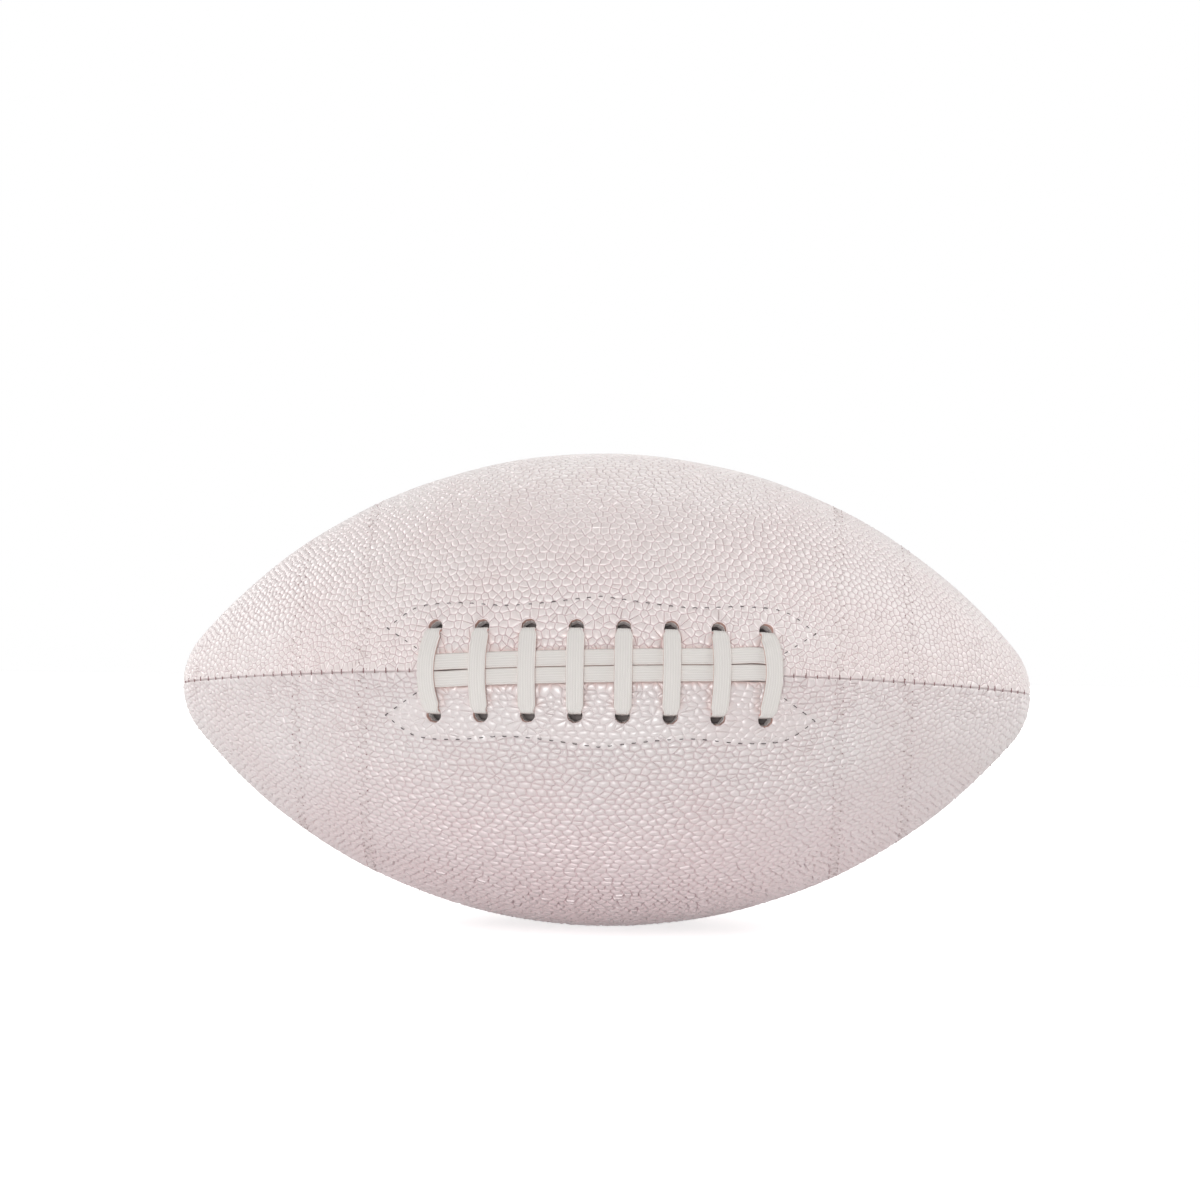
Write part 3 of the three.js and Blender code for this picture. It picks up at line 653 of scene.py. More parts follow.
    def roll_edges(self):
        """Rolls the rim over and takes it down to the inner face. Gives the inner rim."""
        rim = np.array(self.rim)
        chains, away = rim[:, :3], unit(self.solid[rim[:, 4]] - self.solid[rim[:, 3]])
        corners = np.unique(chains)
        follow = np.searchsorted(corners, chains)
        out = np.zeros((len(corners), 3))
        np.add.at(out, follow, away[:, None])
        length = np.linalg.norm(out, axis=-1)
        miter = 1 / np.maximum(LEAST_MITER, length / np.bincount(follow.ravel()))
        out = unit(out) * miter[:, None]
        follow = np.concatenate([follow[:, :2], follow[:, 1:]])
        top, base = self.height[corners], self.base[corners]
        rolls = np.array([edge.roll(self.run[corners]) for edge in self.edges])
        kinds = [list(self.touching[corner]) for corner in corners]
        roll = np.array([rolls[here, k].min() for k, here in enumerate(kinds)])
        cut = np.array([max(self.edges[e].cut for e in here) for here in kinds])
        undercut = np.array([max(self.edges[e].undercut for e in here) for here in kinds])
        last = self.ids[corners]
        for step, lean in enumerate(ROLL_LEANS + ROLL_LEANS[-1:]):
            down = step == len(ROLL_LEANS)
            reach = roll * math.sin(lean) - undercut * down
            run, turn = settle(base + out * reach[:, None])
            height = top - roll * (1 - math.cos(lean))
            if down:
                height = np.minimum(-self.thickness, top - roll - LEAST_WALL)
            bare = lean == ROLL_LEANS[-1]
            ids = self.mesh.add(place(run, turn, height), cut=cut * bare,
                                pebble=CUT_SHADE if bare else ROLLED_SHADE)
            self.mesh.face(np.concatenate([last[follow[:, ::-1]], ids[follow]], -1))
            last = ids
        return last, follow, run, wrapped(turn - self.middle)

    def close_inside(self, rim_ids, follow, rim_run, rim_swing):
        """The plain inner face: triangles between the inner rim and a grid of points."""
        grid = np.meshgrid(np.arange(-HALF_RUN, HALF_RUN, INNER_STEP),
                           np.arange(-RADIUS, RADIUS, INNER_STEP))
        run, swing = bent(grid[0].ravel(), grid[1].ravel(), INNER_BEND)
        inside = (np.abs(run) < HALF_RUN - INNER_MARGIN) & (np.abs(swing) < HALF_PANEL)
        depths = [edge.depth(run, swing) for edge in self.edges]
        inside &= np.min(depths, axis=0) > INNER_MARGIN
        run, swing = run[inside], swing[inside]
        grid_ids = self.mesh.add(place(run, self.middle + swing, -self.thickness),
                                 pebble=INNER_SHADE, cut=0.0)
        ids = np.concatenate([rim_ids, grid_ids])
        run, swing = np.concatenate([rim_run, run]), np.concatenate([rim_swing, swing])
        sheet = flat(run, swing)
        spots, _, tris, origins, _, _ = delaunay_2d_cdt(
            [Vector(p) for p in sheet], [tuple(map(int, pair)) for pair in follow], [], 1,
            SHEET_EPSILON)
        source = np.array([
            origin[0] if origin else np.argmin(((sheet - spot) ** 2).sum(-1))
            for origin, spot in zip(origins, np.array(spots))
        ])
        made = source[np.array(tris)]
        made = made[(made != np.roll(made, 1, axis=1)).all(1)]
        for edge in self.edges:
            if isinstance(edge, Hole):
                depth = edge.depth(run[made].mean(1), swing[made].mean(1))
                made = made[depth >= -edge.radius]
        turned = signed_area(sheet, made) > 0
        made[turned] = made[turned][:, ::-1]
        self.mesh.face(ids[made])


# The stitched line round the lacing, on its upper side, from its right end to its left
FACING_RETURN = (57.0, 6.4)
FACING_POINT = (68.0, 14.0)
FACING_CORNER = (58.5, 20.6)
FACING_SHOULDER = (46.0, 22.0)
FACING_DIP = (28.0, 21.0)
FACING_BULGE = (0.0, 24.2)
FACING_STEP = 1.0
FACING_REACH = (75.0, 30.0)  # past these the line is too far off to matter


def facing_line():
    knots = [FACING_POINT, FACING_CORNER, FACING_SHOULDER, FACING_DIP, FACING_BULGE]
    lead = through([FACING_RETURN, FACING_POINT], FACING_STEP)[:-1]
    right = np.concatenate([lead, through(knots, FACING_STEP)])
    return np.concatenate([right, (right * [-1, 1])[::-1][1:]])


FACING_LINE = facing_line()


def from_line(x, side):
    """Distance to the stitched line, and whether the point is inside it."""
    a, b = FACING_LINE[:-1], FACING_LINE[1:]
    best = np.full(len(x), FAR)
    inside = np.zeros(len(x), bool)
    near = (np.abs(x) < FACING_REACH[0]) & (side < FACING_REACH[1])
    p = np.stack([x[near], side[near]], -1)
    if not len(p):
        return best, inside
    along = b - a
    t = ((p[:, None] - a) * along).sum(-1) / (along**2).sum(-1)
    gap = np.linalg.norm(p[:, None] - a - np.clip(t, 0, 1)[..., None] * along, axis=-1)
    best[near] = gap.min(1)
    foot = [[-FACING_RETURN[0], 0.0], [FACING_RETURN[0], 0.0]]
    c = np.concatenate([FACING_LINE, foot])
    d = np.roll(c, -1, 0)
    over = (c[:, 1] > p[:, 1:]) != (d[:, 1] > p[:, 1:])
    rise = d[:, 1] - c[:, 1]
    rise = np.where(np.abs(rise) < TINY, TINY, rise)
    crossing = p[:, :1] < (d[:, 0] - c[:, 0]) * (p[:, 1:] - c[:, 1]) / rise + c[:, 0]
    inside[near] = (over & crossing).sum(1) % 2 == 1
    return best, inside


# Panels and stripe bands
def run_drift(x):
    """How far the two long runs lie above the front seam."""
    return RUN_DRIFT + RUN_SKEW * x


def slit_inset(level):
    """The inset of a front panel's edge along the front seam, where the slit is open."""

    def inset(run):
        x = meridian(run)[0]
        opened = smooth(SLIT_HALF_LENGTH, SLIT_HALF_LENGTH - SLIT_TAPER, np.abs(x))
        half = SLIT_HALF_WIDTH + FIT_GAP if level == "upper" else SLIT_SHOWN - run_drift(x)
        return seam_inset(run) + (half - SEAM_INSET) * opened

    return inset


STRIPE_END = BALL_LENGTH / 2 - STRIPE_FROM_TIP
STRIPE_NEAR = float(run_at(STRIPE_END - STRIPE_WIDTH))
STRIPE_FAR = float(run_at(STRIPE_END))


def under_stripe(run):
    return (np.abs(run) > STRIPE_NEAR) & (np.abs(run) < STRIPE_FAR)


def waver(run, turn):
    """The slow unevenness of stretched leather."""
    sway = SWAY * np.sin(turn * SWAY_COUNT)
    along = np.sin(run / WAVER_LENGTH + sway)
    return WAVER * along * np.sin(turn * WAVER_COUNT + run / WAVER_SLANT)


def plain_field(run, turn):
    by_bottom = smooth(BOLD_FROM, BOLD_FULL, np.abs(wrapped(turn) + math.pi / 2))
    return GRAIN_SINK + waver(run, turn), 1 + BOLD_BY * by_bottom, np.zeros_like(run)


def painted_shade_beside_lace(x, side):
    """Painted pinkish shade on the leather along the long runs and the bars, where the lace shades it.
    """
    off_runs = np.abs(side - run_drift(x)) - RUN_WIDTH
    off_bars = np.min(np.abs(x[:, None] - EYELETS), 1) - LACE_WIDTH / 2
    runs = np.exp(-(off_runs / PAINTED_SHADE_REACH) ** 2) * (np.abs(x) < SLIT_HALF_LENGTH)
    bars = np.exp(-(off_bars / PAINTED_SHADE_REACH) ** 2)
    bars = bars * (np.abs(side) < EYELET_OFFSET - EYELET_RADIUS)
    return PAINTED_SHADE_STRENGTH * np.maximum(runs, BAR_PAINTED_SHADE_SHARE * bars)


def front_field(run, turn):
    sink, share, _ = plain_field(run, turn)
    x, r, _ = meridian(run)
    side = r * wrapped(turn)
    gap, inside = from_line(x, np.abs(side))
    channel = np.exp(-(gap / STITCH_CHANNEL_WIDTH) ** 2)
    share = np.where(inside & (side < 0), PEBBLE_FLAT, share)
    share = share * (1 - CHANNEL_FLATTENS * channel)
    return sink + STITCH_CHANNEL * channel, share, painted_shade_beside_lace(x, side)


def make_panel(name, quarter, rng):
    """Makes the panel whose middle line is so many half panels from the lacing.

    Gives the seeds of its pebbles.
    """
    middle = quarter * HALF_PANEL
    front = abs(quarter) == 1
    level = "upper" if quarter > 0 else "lower"
    lacing_side = -quarter
    edges = [Seam(side, slit_inset(level)) if side == lacing_side else Seam(side)
             for side in (-1, 1)]
    if front:
        for x in EYELETS:
            run = float(run_at(x))
            turn = quarter * EYELET_OFFSET / float(meridian(np.float64(run))[1])
            edges.append(Hole(run, turn - middle, EYELET_RADIUS, EYELET_ROLL))
    elif level == "upper":
        edges.append(Hole(0.0, VALVE_TURN - middle, VALVE_HOLE_RADIUS, VALVE_HOLE_ROLL))
    run, swing = pebble_seeds(rng, GRAINS[level])
    swing = swing if front else -swing  # the rows open out towards the bottom seam
    depths = [edge.depth(run, swing) / pebble_size(run) for edge in edges]
    clear = np.min(depths, axis=0) > EDGE_CLEARANCE
    seeds = run[clear], swing[clear]
    hide = Hide(seeds, edges, middle, LEATHER, GRAINS[level],
                front_field if front else plain_field, under_stripe(seeds[0]) if front else None)
    finish_mesh("leather_panel_" + name, hide.mesh, leather[level],
                ["panel_" + name], grounded=True, crisp=CRISP)
    return seeds


def make_stripe(end, level, seeds):
    """A band of the same grain as its panel, whose edges lie in the grooves between pebbles."""
    middle, side = HALF_PANEL * LEVELS[level], ENDS[end]
    run, swing = seeds
    own = under_stripe(run) & (run * side > 0)
    low, high = sorted((side * STRIPE_NEAR, side * STRIPE_FAR))
    beside = ~own & (run > low - STRIPE_NEIGHBOURS) & (run < high + STRIPE_NEIGHBOURS)
    hide = Hide((run[own], swing[own]), [Seam(-1), Seam(1)], middle, STRIPE_THICKNESS,
                GRAINS[level], plain_field, joint=Joint(low, high),
                beyond=(run[beside], swing[beside]))
    name = "%s_%s" % (end, level)
    finish_mesh("stripe_band_" + name, hide.mesh, leather[level],
                ["stripe_" + name], grounded=True, crisp=CRISP)


# The lace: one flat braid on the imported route, with a fuller section, long runs that drift and
# gentler bows. Sections are (width, thickness)
FLAT = (LACE_WIDTH, LACE_THICKNESS)
RUN = (RUN_WIDTH, LACE_THICKNESS)
PINCHED = (4.4, 1.6)
BUNCHED = (2.6, 1.9)
RUN_GAP = 0.03
RUN_SIDE = RUN_WIDTH / 2 + RUN_GAP
RUN_HEIGHT = 0.5
BAR_HEIGHT = 1.8
BAR_FALL = 0.25  # of a bar over the outer edges of the runs
SLIT_SIDE = 1.9
END_BOW = 2.0
BOW_POWER = 3
TAIL_LENGTH = 14.0
TAIL_BEND = 1.2
TAIL_LEVEL = 4.8
IN_EYELET_SIDE = 12.8
INNER_SIDE = IN_EYELET_SIDE + 0.8
INNER_TURN = 2.4
CROSSING_SIDE = 11.55
CROSSING_PAST = 6.4
CROSSING_START = 1.2
LACE_STEP = 0.8
LACE_ACROSS = 28
LACE_RIBS = 5
RIB_HEIGHT = 0.07
SELVAGE_HEIGHT = 0.08
SELVAGE_FROM = 0.72
SELVAGE_FULL = 0.86
SQUARENESS = 9
APART = 1e-6

# Where the long runs go in through the slit
DIVE_X = 54.9
LEG_X = 55.85
DIVE_FROM = 3.0
DIVE_BEND = 0.9
DIVE_PAST = 0.4
DIVE_TOP = 0.8
DIVE_SINK = 0.2
DRIFT_KEPT = 0.3

# Where a bar comes out of its eyelet: sides inward of the eyelet, and heights
EYELET_LOW_SIDE = 0.15
EYELET_LOW = -1.3
EYELET_LIP_SIDE = -0.25
EYELET_LIP = 0.35
EYELET_OUT_SIDE = -1.7
EYELET_OUT = RUN_HEIGHT + 0.2

# Ways that the lace's outer face may look, as (along the ball, across it, out)
OUT, IN = (0, 0, 1), (0, 0, -1)


def surface_frame(x, side, height):
    """A point beside the front seam, and the directions along the ball, across it and out."""
    run = run_at(x)
    turn = side / meridian(run)[1]
    out = normal_at(run, turn)
    across = np.array([0.0, np.cos(turn), -np.sin(turn)])
    return place(run, turn, height), np.cross(across, out), across, out


def lace_knots():
    """The lace's route: rows of x, side from the front seam, height, section and outer face."""

    def dive(end, sign):
        lift = run_drift(end * DIVE_X)
        leg = sign * SLIT_SIDE + DRIFT_KEPT * lift
        halfway = sign * (RUN_SIDE + SLIT_SIDE) / 2 + (1 - DRIFT_KEPT) * lift
        return [
            (end * (DIVE_X - DIVE_FROM), sign * RUN_SIDE + lift, RUN_HEIGHT, RUN, OUT),
            (end * (DIVE_X - DIVE_BEND), halfway, DIVE_TOP, PINCHED, (0.3 * end, 0, 1)),
            (end * (DIVE_X + DIVE_PAST), leg, FIT_GAP - DIVE_SINK, BUNCHED, (end, 0, 0.8)),
            (end * LEG_X, leg, -LEATHER / 2, BUNCHED, (end, 0, 0)),
            (end * LEG_X, leg, -FACING_BOTTOM, BUNCHED, (end, 0, 0)),
        ]

    def tail(end, sign):
        side = sign * SLIT_SIDE
        return [
            (end * (DIVE_X - TAIL_BEND), side, -INNER_LACE, BUNCHED, (end, 0, -1)),
            (end * (DIVE_X - TAIL_LEVEL), side, -INNER_LACE, BUNCHED, IN),
            (end * (DIVE_X - TAIL_LENGTH), side, -INNER_LACE, BUNCHED, IN),
        ]

    def bowed(x, bow, side):
        return x + bow * (1 - (side / IN_EYELET_SIDE) ** 2)

    def through_eyelet(x, bow, sign):
        low, lip, out = (IN_EYELET_SIDE + more
                         for more in (EYELET_LOW_SIDE, EYELET_LIP_SIDE, EYELET_OUT_SIDE))
        return [
            (x, sign * INNER_SIDE, -FACING_BOTTOM, BUNCHED, (0, sign, 0)),
            (x, sign * low, EYELET_LOW, PINCHED, (0, sign, 0.2)),
            (bowed(x, bow, lip), sign * lip, EYELET_LIP, PINCHED, (0, sign, 1)),
            (bowed(x, bow, out), sign * out, EYELET_OUT, FLAT, OUT),
        ]

    def bar(x, bow):
        rows = through_eyelet(x, bow, 1)
        for share in (1, 0, -1):
            side = run_drift(x) + share * (RUN_SIDE + RUN_WIDTH / 2)
            height = BAR_HEIGHT - BAR_FALL * abs(share)
            rows.append((bowed(x, bow, side), side, height, FLAT, OUT))
        return rows + through_eyelet(x, bow, -1)[::-1]

    def inner_run(start, stop, sign):
        return [(x, sign * INNER_SIDE, -INNER_LACE, BUNCHED, (0, sign, 0))
                for x in (start + INNER_TURN, stop - INNER_TURN)]

    def long_run(sign):
        return [(x, sign * RUN_SIDE + run_drift(x), RUN_HEIGHT, RUN, OUT)
                for x in EYELETS[-2:0:-1]]

    rows = tail(1, 1)[::-1] + dive(1, 1)[::-1] + long_run(1) + dive(-1, 1)
    rows.append((-DIVE_X, SLIT_SIDE + CROSSING_START, -INNER_LACE, BUNCHED, (-1, 0, -1)))
    rows.append((-ROW_HALF, CROSSING_SIDE, -INNER_LACE, BUNCHED, IN))
    for k, x in enumerate(EYELETS):
        way = 1 if k % 2 == 0 else -1
        rows += bar(x, END_BOW * (x / ROW_HALF) ** BOW_POWER)[::way]
        if k < BAR_COUNT - 1:
            rows += inner_run(x, x + BAR_PITCH, -way)
    past = ROW_HALF + CROSSING_PAST
    rows.append((ROW_HALF + INNER_TURN, CROSSING_SIDE, -INNER_LACE, BUNCHED, IN))
    rows.append((past, CROSSING_SIDE / 2, -INNER_LACE, BUNCHED, IN))
    rows.append((past, -SLIT_SIDE, -INNER_LACE, BUNCHED, (1, 0, -1)))
    return rows + dive(1, -1)[::-1] + long_run(-1) + dive(-1, -1) + tail(-1, -1)


def lace_section(width, thick):
    """Outline of the flat braid for each ring: rounded selvages and faint ribs, as (across, out)."""
    v = np.sin(np.linspace(-math.pi / 2, math.pi / 2, LACE_ACROSS + 1))
    body = np.maximum(1 - np.abs(v) ** SQUARENESS, 0.0) ** 0.5
    ribs = (1 + RIB_HEIGHT * np.cos(v * math.pi * LACE_RIBS)
            + SELVAGE_HEIGHT * smooth(SELVAGE_FROM, SELVAGE_FULL, np.abs(v)))
    top = np.stack([v, body * ribs], -1)
    shape = np.concatenate([top, top[1:-1][::-1] * [1, -1]])
    return shape[None] * np.stack([width / 2, thick / 2], -1)[:, None]


def make_lace(material):
    knots = lace_knots()
    frames = [surface_frame(*knot[:3]) for knot in knots]
    places = np.array([f[0] for f in frames])
    faces = unit(np.array([sum(k[4][i] * f[1 + i] for i in range(3))
                           for k, f in zip(knots, frames)]))
    sizes = np.array([knot[3] for knot in knots])
    line = through(places, LACE_STEP)
    where = distances(line)
    marks = np.array([np.argmin(np.linalg.norm(line - p, axis=-1)) for p in places])
    at = where[np.maximum.accumulate(marks)] + np.arange(len(marks)) * APART
    share = np.interp(where, at, np.arange(len(at)))
    low = np.clip(share.astype(int), 0, len(at) - 2)
    mix = smooth(0.0, 1.0, share - low)[:, None]
    face = faces[low] * (1 - mix) + faces[low + 1] * mix
    size = sizes[low] * (1 - mix) + sizes[low + 1] * mix
    shape = lace_section(*size.T)
    across = shape[..., 0] / (size[:, :1] / 2)
    swept("woven_lace", line[None], face[None], shape, material, "lace_cloth", ["lace"],
          across=across.ravel())


# Thread: profiles are shares along a stitch, or sides of a seam, and heights
THREAD_SIDES = 6
FINE_SIDES = 5
STITCH_PITCH = 3.75
STITCH_SHOWN = 0.36
STITCH_RADIUS = 0.14
STITCH_DIP = 0.45
STITCH_SHARES = np.array([0.0, 0.12, 0.3, 0.5, 0.7, 0.88, 1.0])
STITCH_RISE = np.array([-STITCH_DIP, 0.0, 0.12, 0.16, 0.12, 0.0, -STITCH_DIP])
ZIGZAG_PITCH = 4.3
ZIGZAG_HALF = 1.45
ZIGZAG_START = 0.6
ZIGZAG_RADIUS = 0.1
ZIGZAG_SINK = 0.2
ZIGZAG_SHARES = np.array([0.0, 0.1, 0.3, 0.5, 0.7, 0.9, 1.0])
ZIGZAG_RISE = np.array([-0.5, -0.05, 0.0, -0.02, 0.0, -0.05, -0.5])
KNOT_RADIUS = 0.115
KNOT_SHARES = np.array([-0.5, -0.2, 0.2, 0.5])
KNOT_RISE = np.array([-0.3, 0.06, 0.06, -0.3])
SEAM_STITCH_PITCH = 4.0
SEAM_STITCH_JITTER = 0.3
SEAM_STITCH_RADIUS = 0.17
SEAM_STITCH_SIDES = np.array([1.15, 0.95, 0.6, 0.2, -0.15, -0.4, -0.55])
SEAM_STITCH_RISE = np.array([-0.7, -0.2, -0.16, -0.22, -0.24, -0.26, -0.7])
SEAM_STITCH_MARGIN = 8.0  # from the tips
SLIT_STITCH_MARGIN = 2.0  # from the slit


def make_thread(name, runs, turns, heights, radius, material, slot, sides=THREAD_SIDES):
    """Short lengths of thread, each along a row of points on the ball."""
    runs, turns, heights = np.broadcast_arrays(runs, turns, heights)
    angle = np.arange(sides) * 2 * math.pi / sides
    shape = radius * np.stack([np.cos(angle), np.sin(angle)], -1)
    swept(name, place(runs, turns, heights), normal_at(runs, turns), shape, material, slot)


def facing_stitches(level, material):
    where = distances(FACING_LINE)
    count = round(where[-1] / STITCH_PITCH)
    start = (np.arange(count) + (1 - STITCH_SHOWN) / 2) * where[-1] / count
    spots = start[:, None] + STITCH_SHARES * STITCH_PITCH * STITCH_SHOWN
    x, side = (np.interp(spots, where, FACING_LINE[:, k]) for k in range(2))
    run = run_at(x)
    make_thread("facing_stitches_" + level, run, LEVELS[level] * side / meridian(run)[1],
                STITCH_RISE - (GRAIN_SINK + STITCH_CHANNEL), STITCH_RADIUS, material, "facing_leather")


def zigzag_corners(edge_run, side, level):
    """Needle holes of one zigzag row, from the lacing seam outward."""
    r = float(meridian(np.float64(edge_run))[1])
    length = r * 2 * HALF_PANEL - 2 * SEAM_INSET
    numbers = np.arange(int(length / (ZIGZAG_PITCH / 2)))
    across = SEAM_INSET + ZIGZAG_START + numbers * ZIGZAG_PITCH / 2
    run = side * (edge_run + np.where(numbers % 2, ZIGZAG_HALF, -ZIGZAG_HALF))
    return run, LEVELS[level] * across / r


def zigzags(end, level, pale, hole_shade):
    rows = [zigzag_corners(edge, ENDS[end], level) for edge in (STRIPE_NEAR, STRIPE_FAR)]
    legs = np.concatenate([np.stack([run[:-1], turn[:-1], run[1:], turn[1:]], -1)
                           for run, turn in rows])
    run, turn = (legs[:, k:k + 1] + ZIGZAG_SHARES * (legs[:, k + 2:k + 3] - legs[:, k:k + 1])
                 for k in range(2))
    make_thread("zigzag_thread_%s_%s" % (end, level), run, turn, ZIGZAG_RISE - ZIGZAG_SINK,
                ZIGZAG_RADIUS, pale, "stripe_leather", FINE_SIDES)
    # Rose thread stubs at the needle holes: their deeper colour is painted shade of the holes
    run, turn = (np.concatenate(spots)[:, None] for spots in zip(*rows))
    turn = turn + KNOT_SHARES * KNOT_RADIUS * 2 / meridian(run)[1]
    make_thread("zigzag_knots_%s_%s" % (end, level), run, turn, KNOT_RISE - GRAIN_SINK,
                KNOT_RADIUS, hole_shade, "facing_leather")


def seam_stitches(name, turn, rng, material):
    reach = HALF_RUN - SEAM_STITCH_MARGIN
    run = np.arange(-reach, reach, SEAM_STITCH_PITCH)
    if name == "front":
        run = run[np.abs(run) > run_at(SLIT_HALF_LENGTH) + SLIT_STITCH_MARGIN]
    run = run + rng.uniform(-SEAM_STITCH_JITTER, SEAM_STITCH_JITTER, len(run))
    run = run[:, None]
    make_thread("seam_stitches_" + name, run, turn + SEAM_STITCH_SIDES / meridian(run)[1],
                SEAM_STITCH_RISE, SEAM_STITCH_RADIUS, material, "facing_leather", FINE_SIDES)


def turned_piece(name, outline, material, node):
    """A turned piece of the valve: outline as (radius, height) about the ball's normal."""
    run = np.float64(0.0)
    spot, up = place(run, VALVE_TURN), normal_at(run, VALVE_TURN)
    east = np.array([1.0, 0.0, 0.0])
    north = np.cross(up, east)
    angle = (np.arange(VALVE_SIDES) * 2 * math.pi / VALVE_SIDES)[:, None]
    around = np.cos(angle) * east + np.sin(angle) * north
    mesh = Mesh()
    rings = [mesh.add(spot + up * height + around * radius) for radius, height in outline]
    for one, two in zip(rings, rings[1:] + rings[:1]):
        mesh.band(one, two)
    finish_mesh(name, mesh, material, [node], crisp=VALVE_CRISP)


# Materials
def colour(red, green, blue):
    """An sRGB colour of 0 to 255 as scene-linear RGBA."""
    shares = [c / 255 for c in (red, green, blue)]
    linear = [c / 12.92 if c <= 0.04045 else ((c + 0.055) / 1.055) ** 2.4 for c in shares]
    return (*linear, 1.0)


def grey(level):
    return (level, level, level, 1.0)


class Nodes:
    """The node tree of a material or world, with short calls for the nodes used here."""

    def __init__(self, owner):
        owner.use_nodes = True
        self.owner, self.tree = owner, owner.node_tree
        self.shader = self.tree.nodes.get("Principled BSDF")

    def new(self, kind, **settings):
        node = self.tree.nodes.new("ShaderNode" + kind)
        for key, value in settings.items():
            setattr(node, key, value)
        return node

    def put(self, value, socket):
        """Links another node's output to a socket, or sets a plain value on it."""
        if isinstance(value, bpy.types.NodeSocket):
            self.tree.links.new(value, socket)
        else:
            socket.default_value = value

    def fill(self, node, **values):
        for key, value in values.items():
            self.put(value, node.inputs[key.replace("_", " ")])
        return node.outputs[0]

    def set(self, **values):
        self.fill(self.shader, **values)

    def attribute(self, name):
        return self.new("Attribute", attribute_name=name).outputs["Fac"]

    def where(self):
        return self.new("TexCoord").outputs["Object"]

    def noise(self, scale, detail=3.0, roughness=0.5):
        node = self.new("TexNoise")
        self.fill(node, Vector=self.where(), Scale=scale, Detail=detail, Roughness=roughness)
        return node.outputs["Fac"]

    def ramp(self, value, *stops):
        node = self.new("ValToRGB")
        band = node.color_ramp.elements
        while len(band) < len(stops):
            band.new(0.5)
        for element, (spot, shade) in zip(band, stops):
            element.position, element.color = spot, shade
        self.put(value, node.inputs["Fac"])
        return node.outputs["Color"]

    def mix(self, share, one, two, kind="MIX"):
        node = self.new("Mix", data_type="RGBA", blend_type=kind)
        for value, socket in zip((share, one, two), (node.inputs[k] for k in (0, 6, 7))):
            self.put(value, socket)
        return node.outputs[2]

    def math(self, kind, *values):
        node = self.new("Math", operation=kind)
        for value, socket in zip(values, node.inputs):
            self.put(value, socket)
        return node.outputs[0]

    def add(self, one, two):
        return self.math("ADD", one, two)

    def times(self, one, two):
        return self.math("MULTIPLY", one, two)

    def share(self, wave):
        """A wave of -1 to 1 as a share of 0 to 1."""
        return self.add(self.times(wave, 0.5), 0.5)

    def speckle(self, scale, low, high, start=0.0, stop=1.0):
        """A roughness that wanders between two levels."""
        self.set(Roughness=self.ramp(self.noise(scale), (start, grey(low)), (stop, grey(high))))

    def bump(self, height, depth, strength):
        bump = self.new("Bump")
        self.set(Normal=self.fill(bump, Strength=strength, Distance=depth * MM, Height=height))

    def seen(self):
        """Whether a ray is the camera's own, or one that shows in a reflection or through glass."""
        path = self.new("LightPath")
        seen = path.outputs["Is Camera Ray"]
        for kind in ("Is Glossy Ray", "Is Transmission Ray"):
            seen = self.math("MAXIMUM", seen, path.outputs[kind])
        return seen


WHITE = grey(1.0)
CLOUD = colour(253, 249, 249)
# The next colour is a pink tint towards the floor, painted shade of the underside
LOW_PAINTED_SHADE = colour(255, 243, 246)
# The cut-edge colour is also mixed in beside the lace as painted shade
CUT_EDGE_AND_PAINTED_SHADE = colour(222, 184, 174)
LOW_PAINTED_SHADE_FULL = 0.04
LOW_PAINTED_SHADE_GONE = 0.4
CLOUD_SCALE = 45.0
FINE_GRAIN = 2600.0
COARSE_GRAIN = 700.0
COARSE_SHARE = 0.8


def leather_material(name, top, shoulder, groove):
    """Pearly leather: pebbles with paler shoulders as painted highlight, mauve grooves as painted
    shade and glossy tops, pinker low down as painted shade.
    """
    n = Nodes(bpy.data.materials.new(name))
    pebble = n.attribute("pebble")
    # The ramp paints shade into the grooves and highlight onto the paler shoulders
    base = n.ramp(pebble, (0.12, groove), (0.45, shoulder), (0.8, shoulder), (0.97, top))
    clouds = n.ramp(n.noise(CLOUD_SCALE, 4.0), (0.3, CLOUD), (0.7, WHITE))
    # Pinker towards the floor, as painted shade of the ball's underside
    apart = n.new("SeparateXYZ")
    n.put(n.where(), apart.inputs[0])
    height = n.math("DIVIDE", apart.outputs["Z"], BALL_DIAMETER * MM)
    low_painted_shade = n.ramp(height, (LOW_PAINTED_SHADE_FULL, LOW_PAINTED_SHADE), (LOW_PAINTED_SHADE_GONE, WHITE))
    for tint in (clouds, low_painted_shade):
        base = n.mix(1.0, base, tint, "MULTIPLY")
    # The cut attribute mixes in the cut edges' colour, and beside the lace the same colour as painted
    # shade
    n.set(Base_Color=n.mix(n.attribute("cut"), base, CUT_EDGE_AND_PAINTED_SHADE),
          Roughness=n.ramp(pebble, (0.0, grey(0.5)), (0.5, grey(0.32))),
          Specular_IOR_Level=0.9, Coat_Weight=0.3, Coat_Roughness=0.25)
    coarse = n.times(n.noise(COARSE_GRAIN, 2.0), COARSE_SHARE)
    n.bump(n.add(n.noise(FINE_GRAIN, 4.0, 0.6), coarse), 0.05, 0.6)
    return n.owner


LACE_LOW = colour(221, 216, 212)
LACE_HIGH = colour(231, 227, 223)
SELVAGE_GROOVE = colour(246, 243, 242)
# The next colour is painted shade for the lace's side walls
SIDE_WALL_PAINTED_SHADE = colour(226, 170, 160)
RIB_WAVES = 22.0
TWILL_WAVES = 9.0
TWILL_SLANT = 20.0
RIB_SHARE = 0.7
TWILL_SHARE = 0.3
FUZZ_SCALE = 3000.0
FUZZ_SHARE = 0.6


